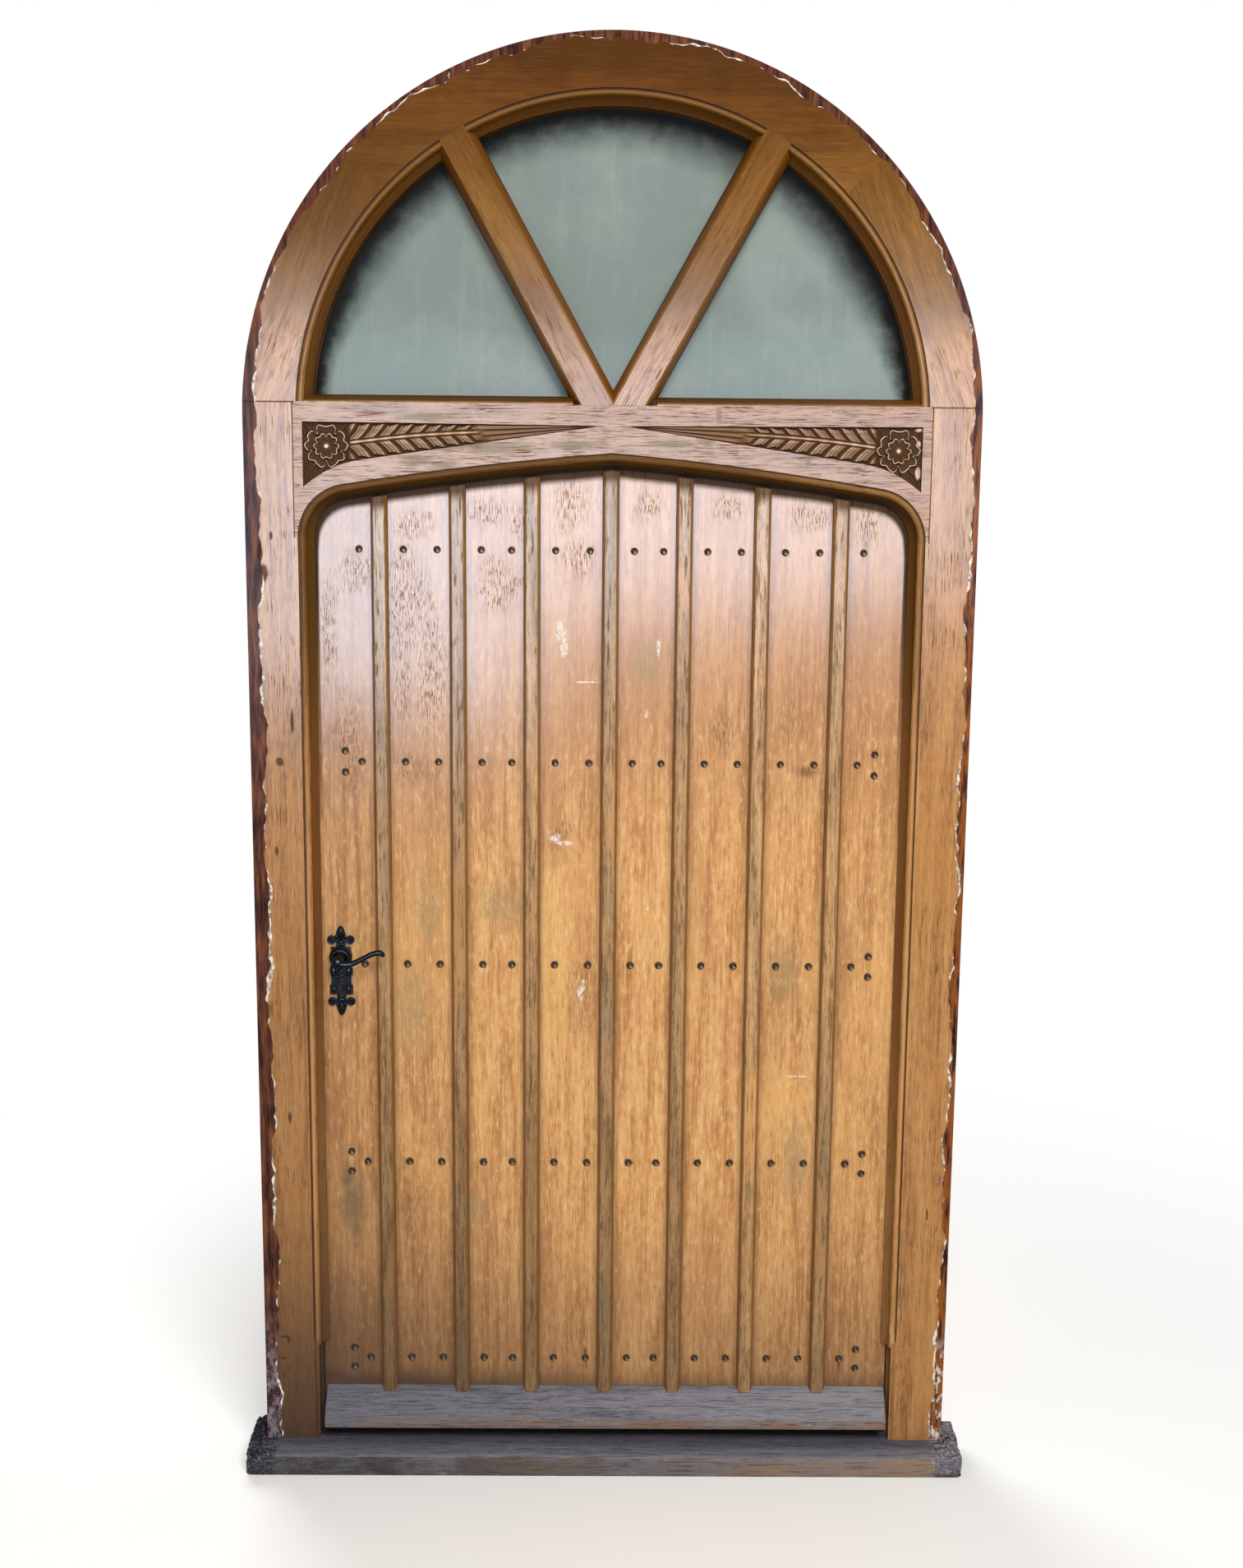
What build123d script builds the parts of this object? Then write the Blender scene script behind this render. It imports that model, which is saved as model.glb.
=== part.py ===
from build123d import *
import math
import os

# Arched oak door in its frame. X runs along the sill, Y goes into the doorway from the front face of
# the frame, and Z is up from the underside of the sill. The leaf opens away from the viewer.

# Frame: jambs and semicircular head
frame_width = 1200.0
frame_depth = 70.0
spring_height = 1826.0
head_joint_rise = 25.0
crown_half_angle = 46.0
face_width = 86.0
stop_depth = 24.0
rebate_width = 12.0
cutaway_width = 16.0
cutaway_height = 220.0
overrun = 20.0

# Moulding on the inner edge of jambs, head and transom
quirk_width = 2.0
quirk_depth = 2.5
bead_width = 10.0
bead_set_back = 0.5
bead_fall = 5.5
step_depth = 3.0
cove_width = 12.0
cove_sag = 1.6
sight_depth = 20.0

# Sill
sill_length = 1264.0
sill_height = 44.0
sill_projection = 48.0
sill_nose_height = 36.0
sill_nose_round = 6.0
horn_chamfer = 6.0

# Transom with its four-centred arch
shoulder_overlap = 6.0
transom_face_rise = 26.0
tudor_haunch_radius = 87.0
tudor_haunch_drop = 218.0
tudor_apex_drop = 78.5
tudor_junction_angle = 9.5
tenon_length = 40.0
tenon_thickness = 20.0
tenon_height = 90.0
tenon_clearance = 0.3

# Carved spandrels: a sunk field with a rose, a leaf spray and tapering ribs
field_end_inset = 10.0
field_tip = 17.0
field_drop = 32.0
field_height = 105.0
field_depth = 7.0
relief_drop = 1.5
spray_drop = 3.0
rose_radius = 35.0
rose_inset = 38.5
rose_drop = 39.0
rose_heart_radius = 19.0
rose_boss_radius = 4.5
petal_count = 5
petal_taper = 3.0
stem_width = 3.5
leaf_count = 9
leaf_length = 24.0
leaf_width = 8.0
leaf_angle = 36.0
rib_width = 3.0
lower_knee_share = 0.785
lower_knee_height_share = 0.44
lower_mid_share = 0.92
lower_mid_height_share = 0.255
tip_height_share = 0.97
stem_start_share = 0.86
stem_start_height_share = 0.67
stem_end_share = 0.42
stem_end_height_share = 0.86
rib_height_shares = (0.78, 0.87, 0.95)
rib_tip_share = 0.33
petal_share = 0.42
corner_leaf_share = 1.5
corner_leaf_turns = (-60, -80, -100)

# Fanlight: two glazing bars, three panes and their beads
bar_angle = 29.1
bar_face = 44.8
bar_moulding = 12.0
bar_foot_drop = 2.0
foot_notch = 6.0
light_sill_rise = 12.0
glass_depth = 45.0
glass_rebate = 10.0
glass_thickness = 4.0
glass_edge_gap = 2.0
bead_strip_depth = 12.0
mitre_kerf = 0.3

# Leaf: boards on a framed back
leaf_gap = 3.0
leaf_bottom = 50.0
board_thickness = 18.0
board_gap = 0.8
framing_thickness = 26.0
stile_width = 120.0
rail_height = 120.0
bottom_rail_height = 200.0
top_rail_drop = 94.0
rail_tenon = 40.0
rail_tenon_thickness = 9.0
rail_tenon_inset = 4.0
rail_shoulder_share = 0.2
joint_place_shares = (-0.769, -0.511, -0.2645, -0.004, 0.2395, 0.497, 0.757)

# Cover strips over the board joints
strip_width = 28.0
strip_flat = 18.0
strip_thickness = 10.0
strip_lip = 3.0
strip_bottom = 127.0
strip_top_gap = 4.0
strip_corner_clip = 5.0

# Weatherboard across the foot of the leaf
weatherboard_top = 136.0
weatherboard_nose_top = 86.0
weatherboard_bottom = 70.0
weatherboard_projection = 38.0
weatherboard_latch_setback = 2.5
drip_groove_width = 6.0
drip_groove_depth = 4.0
drip_groove_inset = 8.0

# Dome-headed nails, in rows on the rails, in shares of the way up from the bottom row
row_top_drop = 19.0
row_bottom_rise = 137.0
row_upper_share = 0.7514
row_lock_share = 0.5056
row_lower_share = 0.2563
nail_left_offset = 34.0
nail_right_offset = 39.0
nail_edge_inset = 53.0
nail_pair_rise = 18.0
nail_head_radius = 6.0
nail_head_height = 3.5
nail_shank_radius = 1.6
nail_length = 28.0
nail_clearance = 0.1

# Door furniture: backplates, levers and spindle
backset = 40.5
spindle_height = 922.0
plate_length = 160.0
plate_width = 40.0
plate_thickness = 3.0
plate_spindle_rise = 25.0
plate_waist = 34.0
plate_body_length = 84.0
scroll_spread = 16.0
scroll_rise = 54.5
scroll_radius = 7.5
finial_width = 16.0
finial_length = 34.0
finial_neck_share = 0.85
foot_band_height = 17.0
rose_plate_radius = 19.5
rose_plate_rise = 5.0
neck_radius = 8.0
running_clearance = 0.05
hub_radius = 10.0
hub_length = 40.0
hub_gap = 0.4
lever_reach = 74.0
lever_rise = 20.0
lever_bow = 7.0
lever_radius = 4.0
lever_end_radius = 5.0
spindle_size = 8.0
spindle_clearance = 0.1
keyhole_drop = 54.0
keyhole_radius = 4.0
keyhole_slot = 4.0
keyhole_length = 14.0
plate_screw_radius = 1.6
plate_screw_head = 3.2
plate_screw_bite = 5.0
plate_screw_head_height = 1.2

# Mortise lock and strike plate
case_length = 66.0
case_height = 156.0
case_thickness = 14.0
case_wall = 1.5
case_clearance = 0.5
case_drop = 42.0
forend_thickness = 3.0
forend_width = 22.0
forend_overlap = 18.0
latch_height = 14.0
latch_thickness = 8.0
latch_throw = 12.0
latch_length = 27.0
latch_bevel = 6.0
dead_height = 22.0
dead_thickness = 8.0
dead_length = 35.0
bolt_clearance = 0.3
follower_radius = 11.0
follower_length = 8.0
strike_thickness = 2.0
strike_overlap = 24.0
strike_hole_clearance = 1.5
pocket_depth = 18.0
strike_screw_inset = 10.0

# Butt hinges on the inside, at the right
hinge_height = 100.0
hinge_low_rise = 210.0
hinge_high_drop = 174.0
hinge_knuckles = 5
hinge_flap_thickness = 2.4
hinge_knuckle_radius = 6.5
hinge_pin_radius = 3.0
hinge_axis_set_back = 9.0
hinge_knuckle_gap = 0.4
hinge_tab_gap = 0.8
hinge_screw_radius = 2.0
hinge_screw_head = 3.8
hinge_screw_length = 28.0
hinge_screw_clearance = 0.1
hinge_screw_shares = (-0.36, 0.0, 0.36)

# Derived places
moulding_width = quirk_width + bead_width + cove_width
outer = frame_width / 2
quirk = outer - face_width
opening = quirk - moulding_width
rebate = opening + rebate_width
leaf_half = rebate - leaf_gap
framing_front = stop_depth + board_thickness
leaf_back = framing_front + framing_thickness
head_joint_height = spring_height + head_joint_rise
transom_shoulder = quirk + shoulder_overlap
transom_face_top = spring_height + transom_face_rise
tudor_haunch_height = transom_face_top - tudor_haunch_drop
tudor_apex_height = transom_face_top - tudor_apex_drop
field_end = quirk - field_end_inset
field_top = transom_face_top - field_drop
light_sill = transom_face_top + light_sill_rise
haunch_sight = tudor_haunch_radius - moulding_width
haunch_x = opening - haunch_sight
head_top = spring_height + outer
latch_edge = -leaf_half
spindle_x = latch_edge + backset
plate_middle = spindle_height - plate_spindle_rise
keyhole_height = spindle_height - keyhole_drop
case_bottom = spindle_height - case_drop - case_height / 2
case_top = case_bottom + case_height
framing_middle = (framing_front + leaf_back) / 2
bar_sight = bar_face / 2 + bar_moulding
bar_foot = transom_face_top - bar_foot_drop
bar_foot_x = bar_face / 2 / math.cos(math.radians(bar_angle))
plate_screw_length = plate_thickness + plate_screw_bite
hinge_axis_x = (leaf_half + rebate) / 2
hinge_axis_y = leaf_back + hinge_axis_set_back
joint_places = [share * leaf_half for share in joint_place_shares]
row_top = tudor_haunch_height - row_top_drop
row_bottom = leaf_bottom + row_bottom_rise
row_span = row_top - row_bottom
row_upper = row_bottom + row_span * row_upper_share
row_lock = row_bottom + row_span * row_lock_share
row_lower = row_bottom + row_span * row_lower_share
nail_rows = (row_top, row_upper, row_lock, row_lower, row_bottom)
top_rail_bottom = tudor_haunch_height - top_rail_drop
bottom_rail_top = leaf_bottom + bottom_rail_height
hinge_low = leaf_bottom + hinge_low_rise
hinge_high = tudor_haunch_height - hinge_high_drop
hinge_middle = (hinge_low + hinge_high) / 2

pieces = {}


def block(x0, x1, y0, y1, z0, z1):
    middle = Pos((x0 + x1) / 2, (y0 + y1) / 2, (z0 + z1) / 2)
    return middle * Box(x1 - x0, y1 - y0, z1 - z0)


def outline(start, *moves):
    """Closed face from straight moves (an end point) and arcs (a point passed through, an end point)."""
    edges = []
    here = start
    for move in moves:
        if isinstance(move[0], tuple):
            edges.append(ThreePointArc(here, move[0], move[1]))
            here = move[1]
        else:
            edges.append(Line(here, move))
            here = move
    edges.append(Line(here, start))
    return make_face(edges)


def slab(face, y0, y1):
    """Solid between two depths, from a face drawn in the door's X and Z."""
    front = Plane(origin=(0, y0, 0), x_dir=(1, 0, 0), z_dir=(0, -1, 0))
    return extrude(front * face, amount=y1 - y0, dir=(0, 1, 0))


def along_x(face, x0, x1):
    """Solid between two stations, from a face drawn in Y and Z."""
    side = Plane(origin=(x0, 0, 0), x_dir=(0, 1, 0), z_dir=(1, 0, 0))
    return extrude(side * face, amount=x1 - x0, dir=(1, 0, 0))


def along_z(face, z0, z1):
    """Solid between two heights, from a face drawn in X and Y."""
    return extrude(Pos(0, 0, z0) * face, amount=z1 - z0, dir=(0, 0, 1))


def turned(face, centre_x, centre_z, start, sweep):
    """Turns a face of radius and depth about an axis along Y, from one angle round by another."""
    x = math.cos(math.radians(start))
    z = math.sin(math.radians(start))
    plane = Plane(origin=(centre_x, 0, centre_z), x_dir=(x, 0, z), z_dir=(-z, 0, x))
    return revolve(plane * face, Axis((centre_x, 0, centre_z), (0, -1, 0)), sweep)


def rod(radius, x, z, y0, y1):
    """Round bar along Y."""
    return Pos(x, (y0 + y1) / 2, z) * Rot(X=90) * Cylinder(radius, y1 - y0)


def other_side(solid):
    return mirror(solid, about=Plane.YZ)


def moulding_moves(edge):
    """The moulding's moves in radius and depth, from its quirk inwards to the sight edge."""
    groove = edge - quirk_width
    bead_end = groove - bead_width
    bead_top = groove - bead_width / 2
    step = bead_fall + step_depth
    sight = bead_end - cove_width
    cove_middle = (bead_end + sight) / 2 + cove_sag
    return [
        (edge, quirk_depth),
        (groove, quirk_depth),
        ((bead_top, bead_set_back), (bead_end, bead_fall)),
        (bead_end, step),
        ((cove_middle, (step + sight_depth) / 2 + cove_sag), (sight, sight_depth)),
    ]


def moulded_section():
    """Section of jamb and head in X and Y, moulded on its inner front edge."""
    back = [(opening, frame_depth), (outer, frame_depth)]
    return outline((outer, 0), (quirk, 0), *moulding_moves(quirk), *back)


def opening_section(edge, inner):
    """What an arched opening takes out, in radius and depth: the moulding's negative and the rebate."""
    back = frame_depth + overrun
    sight = edge - moulding_width
    return outline(
        (inner, -overrun),
        (edge, -overrun),
        (edge, 0),
        *moulding_moves(edge),
        (sight, stop_depth),
        (sight + rebate_width, stop_depth),
        (sight + rebate_width, back),
        (inner, back),
    )


def tudor_arc():
    """Centre and quirk radius of the long arc at the right, from the haunch and the apex."""
    angle = math.radians(tudor_junction_angle)
    normal = (math.sin(angle), math.cos(angle))
    joint_x = haunch_x + tudor_haunch_radius * normal[0]
    joint_z = tudor_haunch_height + tudor_haunch_radius * normal[1]
    to_apex = (-joint_x, tudor_apex_height - joint_z)
    reach = to_apex[0] ** 2 + to_apex[1] ** 2
    radius = -reach / (2 * (to_apex[0] * normal[0] + to_apex[1] * normal[1]))
    return joint_x - radius * normal[0], joint_z - radius * normal[1], radius


def tudor_face(grow, bottom):
    """The doorway's outline in X and Z, grown outwards from its sight line."""
    centre_x, centre_z, radius = tudor_arc()
    long_radius = radius - moulding_width + grow
    short_radius = haunch_sight + grow
    half = opening + grow
    apex_angle = math.degrees(math.asin(-centre_x / long_radius))

    def on_long(angle):
        turn = math.radians(angle)
        return centre_x + long_radius * math.sin(turn), centre_z + long_radius * math.cos(turn)

    def on_short(angle):
        turn = math.radians(angle)
        return haunch_x + short_radius * math.sin(turn), tudor_haunch_height + short_radius * math.cos(turn)

    def mirrored(point):
        return -point[0], point[1]

    apex = (0, on_long(apex_angle)[1])
    long_middle = on_long((apex_angle + tudor_junction_angle) / 2)
    junction = on_long(tudor_junction_angle)
    short_middle = on_short((tudor_junction_angle + 90) / 2)
    springing = (half, tudor_haunch_height)
    return outline(
        (half, bottom),
        springing,
        (short_middle, junction),
        (long_middle, apex),
        (mirrored(long_middle), mirrored(junction)),
        (mirrored(short_middle), mirrored(springing)),
        (-half, bottom),
    )


def screw(radius, head_radius, head_height, length, flush=True):
    """Countersunk or domed screw along +Y, its head's face at zero depth."""
    shank = rod(radius, 0, 0, 0, length)
    if flush:
        head = Pos(0, head_height / 2, 0) * Rot(X=-90) * Cone(head_radius, radius, head_height)
        return head + shank
    return rod(head_radius, 0, 0, -head_height, 0) + shank


# Jambs and head
section = moulded_section()
head = turned(section, 0, spring_height, 0, 180)
far = outer + overrun
above_joint = block(-far, far, -overrun, frame_depth + overrun, head_joint_height, head_top + overrun)
crown_reach = 2 * outer
crown_side = crown_reach * math.tan(math.radians(crown_half_angle))
crown_wedge = slab(
    outline(
        (0, spring_height),
        (crown_side, spring_height + crown_reach),
        (-crown_side, spring_height + crown_reach),
    ),
    -overrun,
    frame_depth + overrun,
)
head_top_part = head & above_joint
glazing_bore = rod(opening + glass_rebate, 0, spring_height, glass_depth, frame_depth + overrun)
right_half = block(0, far, -overrun, frame_depth + overrun, 0, head_top + overrun)
pieces["arch_crown"] = (head_top_part & crown_wedge) - glazing_bore
haunch_right = ((head_top_part - crown_wedge) & right_half) - glazing_bore
pieces["arch_haunch_right"] = haunch_right
pieces["arch_haunch_left"] = other_side(haunch_right)


def tenon(clearance, x_end):
    middle = (transom_face_top + tudor_apex_height) / 2 - tenon_height / 2
    y_middle = frame_depth / 2
    half_thick = tenon_thickness / 2 + clearance
    low = middle - tenon_height / 2 - clearance
    high = middle + tenon_height / 2 + clearance
    return block(transom_shoulder, x_end, y_middle - half_thick, y_middle + half_thick, low, high)


jamb = along_z(section, sill_height, spring_height)
jamb += (head - above_joint) & right_half
jamb -= block(0, rebate, stop_depth, frame_depth + overrun, 0, head_joint_height)
jamb -= block(0, transom_shoulder, -overrun, frame_depth + overrun, tudor_haunch_height, head_top)
jamb -= block(0, opening + cutaway_width, -overrun, stop_depth, 0, cutaway_height)
jamb -= tenon(tenon_clearance, transom_shoulder + tenon_length + tenon_clearance)

# Transom, scribed under the head
long_x, long_z, long_radius = tudor_arc()
apex_polar = 90 - math.degrees(math.asin(-long_x / long_radius))
junction_polar = 90 - tudor_junction_angle
haunch_section = opening_section(tudor_haunch_radius, 0)
haunch_cut = turned(haunch_section, haunch_x, tudor_haunch_height, 0, junction_polar)
long_inner = long_radius - (tudor_apex_height - tudor_haunch_height) - moulding_width - tudor_haunch_radius
long_cut = turned(
    opening_section(long_radius, long_inner), long_x, long_z, junction_polar, apex_polar - junction_polar
)
transom_half = block(0, transom_shoulder, 0, frame_depth, tudor_haunch_height, light_sill)
transom_half -= haunch_cut
transom_half -= long_cut & right_half
transom_half -= head_top_part
transom_half += tenon(0, transom_shoulder + tenon_length)
light_slope = outline(
    (-overrun, transom_face_top),
    (0, transom_face_top),
    (quirk_depth, transom_face_top),
    (sight_depth, light_sill),
    (sight_depth, light_sill + overrun),
    (-overrun, light_sill + overrun),
)
transom_half -= along_x(light_slope, 0, transom_shoulder)
back_top = light_sill - glass_rebate
transom_half -= block(
    0, transom_shoulder, glass_depth, frame_depth + overrun, back_top, light_sill + overrun
)
foot_half = bar_foot_x + bar_sight / math.cos(math.radians(bar_angle))
transom_half -= block(0, foot_half, -overrun, frame_depth + overrun, bar_foot, light_sill + overrun)

# Carved spandrel at the right, in shares of its length from the tip and its height from the foot
field_length = field_end - field_tip


def in_field(along_share, up_share):
    return field_tip + field_length * along_share, field_top - field_height * (1 - up_share)


def bar_between(start, end, width_start, width_end):
    """Tapering flat bar between two places."""
    run = math.hypot(end[0] - start[0], end[1] - start[1])
    across = (-(end[1] - start[1]) / run, (end[0] - start[0]) / run)
    half_start = width_start / 2
    half_end = width_end / 2
    return outline(
        (start[0] + across[0] * half_start, start[1] + across[1] * half_start),
        (end[0] + across[0] * half_end, end[1] + across[1] * half_end),
        (end[0] - across[0] * half_end, end[1] - across[1] * half_end),
        (start[0] - across[0] * half_start, start[1] - across[1] * half_start),
    )


def spray_leaf(root, angle, length, width):
    """Pointed leaf with two arched edges."""
    turn = math.radians(angle)
    tip = (root[0] + length * math.cos(turn), root[1] + length * math.sin(turn))
    middle = ((root[0] + tip[0]) / 2, (root[1] + tip[1]) / 2)
    side = (-math.sin(turn) * width / 2, math.cos(turn) * width / 2)
    upper = (middle[0] + side[0], middle[1] + side[1])
    lower = (middle[0] - side[0], middle[1] - side[1])
    return make_face([ThreePointArc(root, upper, tip), ThreePointArc(tip, lower, root)])


field_corner = in_field(1, 1)
field_foot = in_field(1, 0)
field_face = outline(
    field_corner,
    in_field(0, tip_height_share),
    in_field(lower_knee_share, lower_knee_height_share),
    (in_field(lower_mid_share, lower_mid_height_share), field_foot),
)
transom_half -= slab(field_face, -overrun, field_depth)

rose_x = field_end - rose_inset
rose_z = field_top - rose_drop
stem_start = in_field(stem_start_share, stem_start_height_share)
stem_end = in_field(stem_end_share, stem_end_height_share)
field_point = in_field(0, tip_height_share)
flat_relief = [bar_between(stem_start, stem_end, stem_width, stem_width)]
for rib_share in rib_height_shares:
    rib_root = in_field(stem_end_share, rib_share)
    flat_relief.append(bar_between(rib_root, field_point, rib_width, rib_width * rib_tip_share))
stem_angle = math.degrees(math.atan2(stem_end[1] - stem_start[1], stem_end[0] - stem_start[0]))
for number in range(leaf_count):
    share = number / leaf_count
    root = (
        stem_start[0] + (stem_end[0] - stem_start[0]) * share,
        stem_start[1] + (stem_end[1] - stem_start[1]) * share,
    )
    flat_relief.append(spray_leaf(root, stem_angle - leaf_angle, leaf_length, leaf_width))
    flat_relief.append(spray_leaf(root, stem_angle + leaf_angle, leaf_length, leaf_width))
corner_root = (rose_x + rose_radius / 2, rose_z - rose_radius / 2)
for turn in corner_leaf_turns:
    flat_relief.append(spray_leaf(corner_root, turn, rose_radius * corner_leaf_share, leaf_width))
relief = [slab(face, spray_drop, field_depth) for face in flat_relief]


def petal_ring(ring_radius, petal_radius, first, top, low):
    """Tapered round petals set in a ring about the rose's centre."""
    ring = []
    for number in range(petal_count):
        turn = math.radians(first + number * 360 / petal_count)
        x = rose_x + ring_radius * math.cos(turn)
        z = rose_z + ring_radius * math.sin(turn)
        cone = Cone(petal_radius, petal_radius - petal_taper, low - top)
        ring.append(Pos(x, (low + top) / 2, z) * Rot(X=90) * cone)
    return ring


outer_petal = rose_radius * petal_share
heart_petal = rose_heart_radius * petal_share
relief += petal_ring(rose_radius - outer_petal, outer_petal, 90, spray_drop, field_depth)
relief += petal_ring(rose_heart_radius - heart_petal, heart_petal, -90, relief_drop, field_depth)
relief.append(rod(rose_boss_radius, rose_x, rose_z, relief_drop, field_depth))
carving = relief[0].fuse(*relief[1:])
carving &= slab(field_face, 0, field_depth)
transom_half += carving
transom = transom_half + other_side(transom_half)
notch_end = foot_half + foot_notch
transom -= block(foot_half, notch_end, -overrun, sight_depth, bar_foot, light_sill + overrun)
pieces["transom"] = transom

# Glazing bars, scribed to head and transom
bar_step = bar_sight - glass_rebate
bar_turn = math.radians(bar_angle)
bar_section = outline(
    (-bar_face / 2, 0),
    (bar_face / 2, 0),
    (bar_face / 2, quirk_depth),
    (bar_sight, sight_depth),
    (bar_sight, glass_depth),
    (bar_step, glass_depth),
    (bar_step, frame_depth),
    (-bar_step, frame_depth),
    (-bar_step, glass_depth),
    (-bar_sight, glass_depth),
    (-bar_sight, sight_depth),
    (-bar_face / 2, quirk_depth),
)
bar_plane = Plane(
    origin=(bar_foot_x, 0, bar_foot),
    x_dir=(math.cos(bar_turn), 0, -math.sin(bar_turn)),
    z_dir=(math.sin(bar_turn), 0, math.cos(bar_turn)),
)
bar = extrude(bar_plane * bar_section, amount=outer, both=True)
bar &= block(0, far, -overrun, frame_depth + overrun, bar_foot, head_top)
bar &= rod((opening + quirk) / 2 + moulding_width / 2, 0, spring_height, -overrun, frame_depth + overrun)
bar -= pieces["arch_crown"]
bar -= pieces["arch_haunch_right"]
bar_right = bar - transom_half
pieces["glazing_bar_right"] = bar_right
pieces["glazing_bar_left"] = other_side(bar_right)


def bar_line(offset, z):
    """Where a line beside the right bar's centre line stands at a height."""
    return bar_foot_x + offset / math.cos(bar_turn) + (z - bar_foot) * math.tan(bar_turn)


def head_meeting(offset, grow):
    """Where a line beside the bar meets the head's sight circle, grown outwards."""
    radius = opening + grow
    slope = math.tan(bar_turn)
    x0 = bar_line(offset, spring_height)
    half_b = x0 * slope
    a = 1 + slope ** 2
    rise = (-half_b + math.sqrt(half_b ** 2 - a * (x0 ** 2 - radius ** 2))) / a
    return x0 + slope * rise, spring_height + rise


def side_light(grow, y0, y1):
    """Right-hand light, grown outwards from its sight line, between two depths."""
    offset = bar_sight - grow
    low = light_sill - grow
    face = outline(
        (bar_line(offset, low), low),
        (far, low),
        (far, head_top),
        (bar_line(offset, head_top), head_top),
    )
    return slab(face, y0, y1) & rod(opening + grow, 0, spring_height, y0, y1)


def centre_light(grow, y0, y1):
    """Light between the bars, grown outwards from its sight line."""
    offset = grow - bar_sight
    low = bar_foot - bar_line(offset, bar_foot) / math.tan(bar_turn)
    face = outline((0, low), (bar_line(offset, head_top), head_top), (-bar_line(offset, head_top), head_top))
    return slab(face, y0, y1) & rod(opening + grow, 0, spring_height, y0, y1)


def kerf(inner, outer_point, y0, y1):
    """Saw cut along a mitre, from inside the sight corner to outside the rebate corner."""
    reach = (outer_point[0] - inner[0], outer_point[1] - inner[1])
    start = (inner[0] - reach[0] / 2, inner[1] - reach[1] / 2)
    end = (outer_point[0] + reach[0] / 2, outer_point[1] + reach[1] / 2)
    return slab(bar_between(start, end, mitre_kerf, mitre_kerf), y0, y1)


def light_corners(grow):
    """Corners of the right-hand light and the centre light's right and lower corners."""
    low = light_sill - grow
    side_foot = (bar_line(bar_sight - grow, low), low)
    radius = opening + grow
    side_end = (math.sqrt(radius ** 2 - (low - spring_height) ** 2), low)
    side_top = head_meeting(bar_sight - grow, grow)
    offset = grow - bar_sight
    centre_foot = (0, bar_foot - bar_line(offset, bar_foot) / math.tan(bar_turn))
    centre_top = head_meeting(offset, grow)
    return side_foot, side_end, side_top, centre_foot, centre_top


glass_back = glass_depth + glass_thickness
bead_back = glass_back + bead_strip_depth
pane_grow = glass_rebate - glass_edge_gap
glass_right = side_light(pane_grow, glass_depth, glass_back)
pieces["glass_right"] = glass_right
pieces["glass_left"] = other_side(glass_right)
pieces["glass_centre"] = centre_light(pane_grow, glass_depth, glass_back)
inner_corners = light_corners(0)
outer_corners = light_corners(glass_rebate)
kerfs = [
    kerf(inner_corner, outer_corner, glass_back, bead_back)
    for inner_corner, outer_corner in zip(inner_corners, outer_corners)
]
side_beads = side_light(glass_rebate, glass_back, bead_back) - side_light(0, glass_back, bead_back)
for cut in kerfs[:3]:
    side_beads -= cut
pieces["glazing_beads_right"] = side_beads
pieces["glazing_beads_left"] = other_side(side_beads)
centre_beads = centre_light(glass_rebate, glass_back, bead_back) - centre_light(0, glass_back, bead_back)
for cut in (kerfs[3], kerfs[4], other_side(kerfs[4])):
    centre_beads -= cut
pieces["glazing_beads_centre"] = centre_beads

# Sill, with a sloping nose and horns past the jambs
nose = -sill_projection
sill_face = outline(
    (nose, 0),
    (frame_depth, 0),
    (frame_depth, sill_height),
    (0, sill_height),
    (nose + sill_nose_round, sill_nose_height),
    (nose, sill_nose_height - sill_nose_round),
)
sill = along_x(sill_face, -sill_length / 2, sill_length / 2)
horn_edges = sill.edges().filter_by(Axis.Z).sort_by(Axis.Y)[:2]
pieces["sill"] = chamfer(horn_edges, horn_chamfer)

# Nails and their holes
nail_places = []
for row in nail_rows:
    for joint in joint_places:
        nail_places.append((joint - nail_left_offset, row))
        nail_places.append((joint + nail_right_offset, row))
edge_x = leaf_half - nail_edge_inset
for row in nail_rows[1:]:
    for rise in (-nail_pair_rise, nail_pair_rise):
        nail_places.append((edge_x, row + rise))
        if row != row_lock:
            nail_places.append((-edge_x, row + rise))
dome_radius = (nail_head_radius ** 2 + nail_head_height ** 2) / (2 * nail_head_height)
dome_centre = stop_depth - nail_head_height + dome_radius
nail_head = Pos(0, dome_centre, 0) * Sphere(dome_radius)
in_front = block(-dome_radius, dome_radius, -dome_radius, stop_depth, -dome_radius, dome_radius)
nail = (nail_head & in_front) + rod(nail_shank_radius, 0, 0, stop_depth, stop_depth + nail_length)
pieces["board_nails"] = Compound([Pos(x, 0, z) * nail for x, z in nail_places])
nail_bore = nail_shank_radius + nail_clearance
bore_end = stop_depth + nail_length + nail_clearance


def drilled(solid):
    """Takes out the nail holes that fall within a piece."""
    low = solid.bounding_box().min
    high = solid.bounding_box().max
    holes = [
        rod(nail_bore, x, z, stop_depth - nail_clearance, bore_end)
        for x, z in nail_places
        if low.X - nail_bore < x < high.X + nail_bore and low.Z - nail_bore < z < high.Z + nail_bore
    ]
    return solid.cut(*holes) if holes else solid


# Openings through the leaf for lock and spindle
bolt_half = latch_thickness / 2
spindle_hole = rod(hub_radius + case_clearance, spindle_x, spindle_height, stop_depth, leaf_back)


def keyhole(y0, y1):
    slot_half = keyhole_slot / 2
    slot = block(
        spindle_x - slot_half, spindle_x + slot_half, y0, y1, keyhole_height - keyhole_length, keyhole_height
    )
    return slot + rod(keyhole_radius, spindle_x, keyhole_height, y0, y1)


key_way = keyhole(stop_depth - overrun, leaf_back + overrun)

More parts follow.
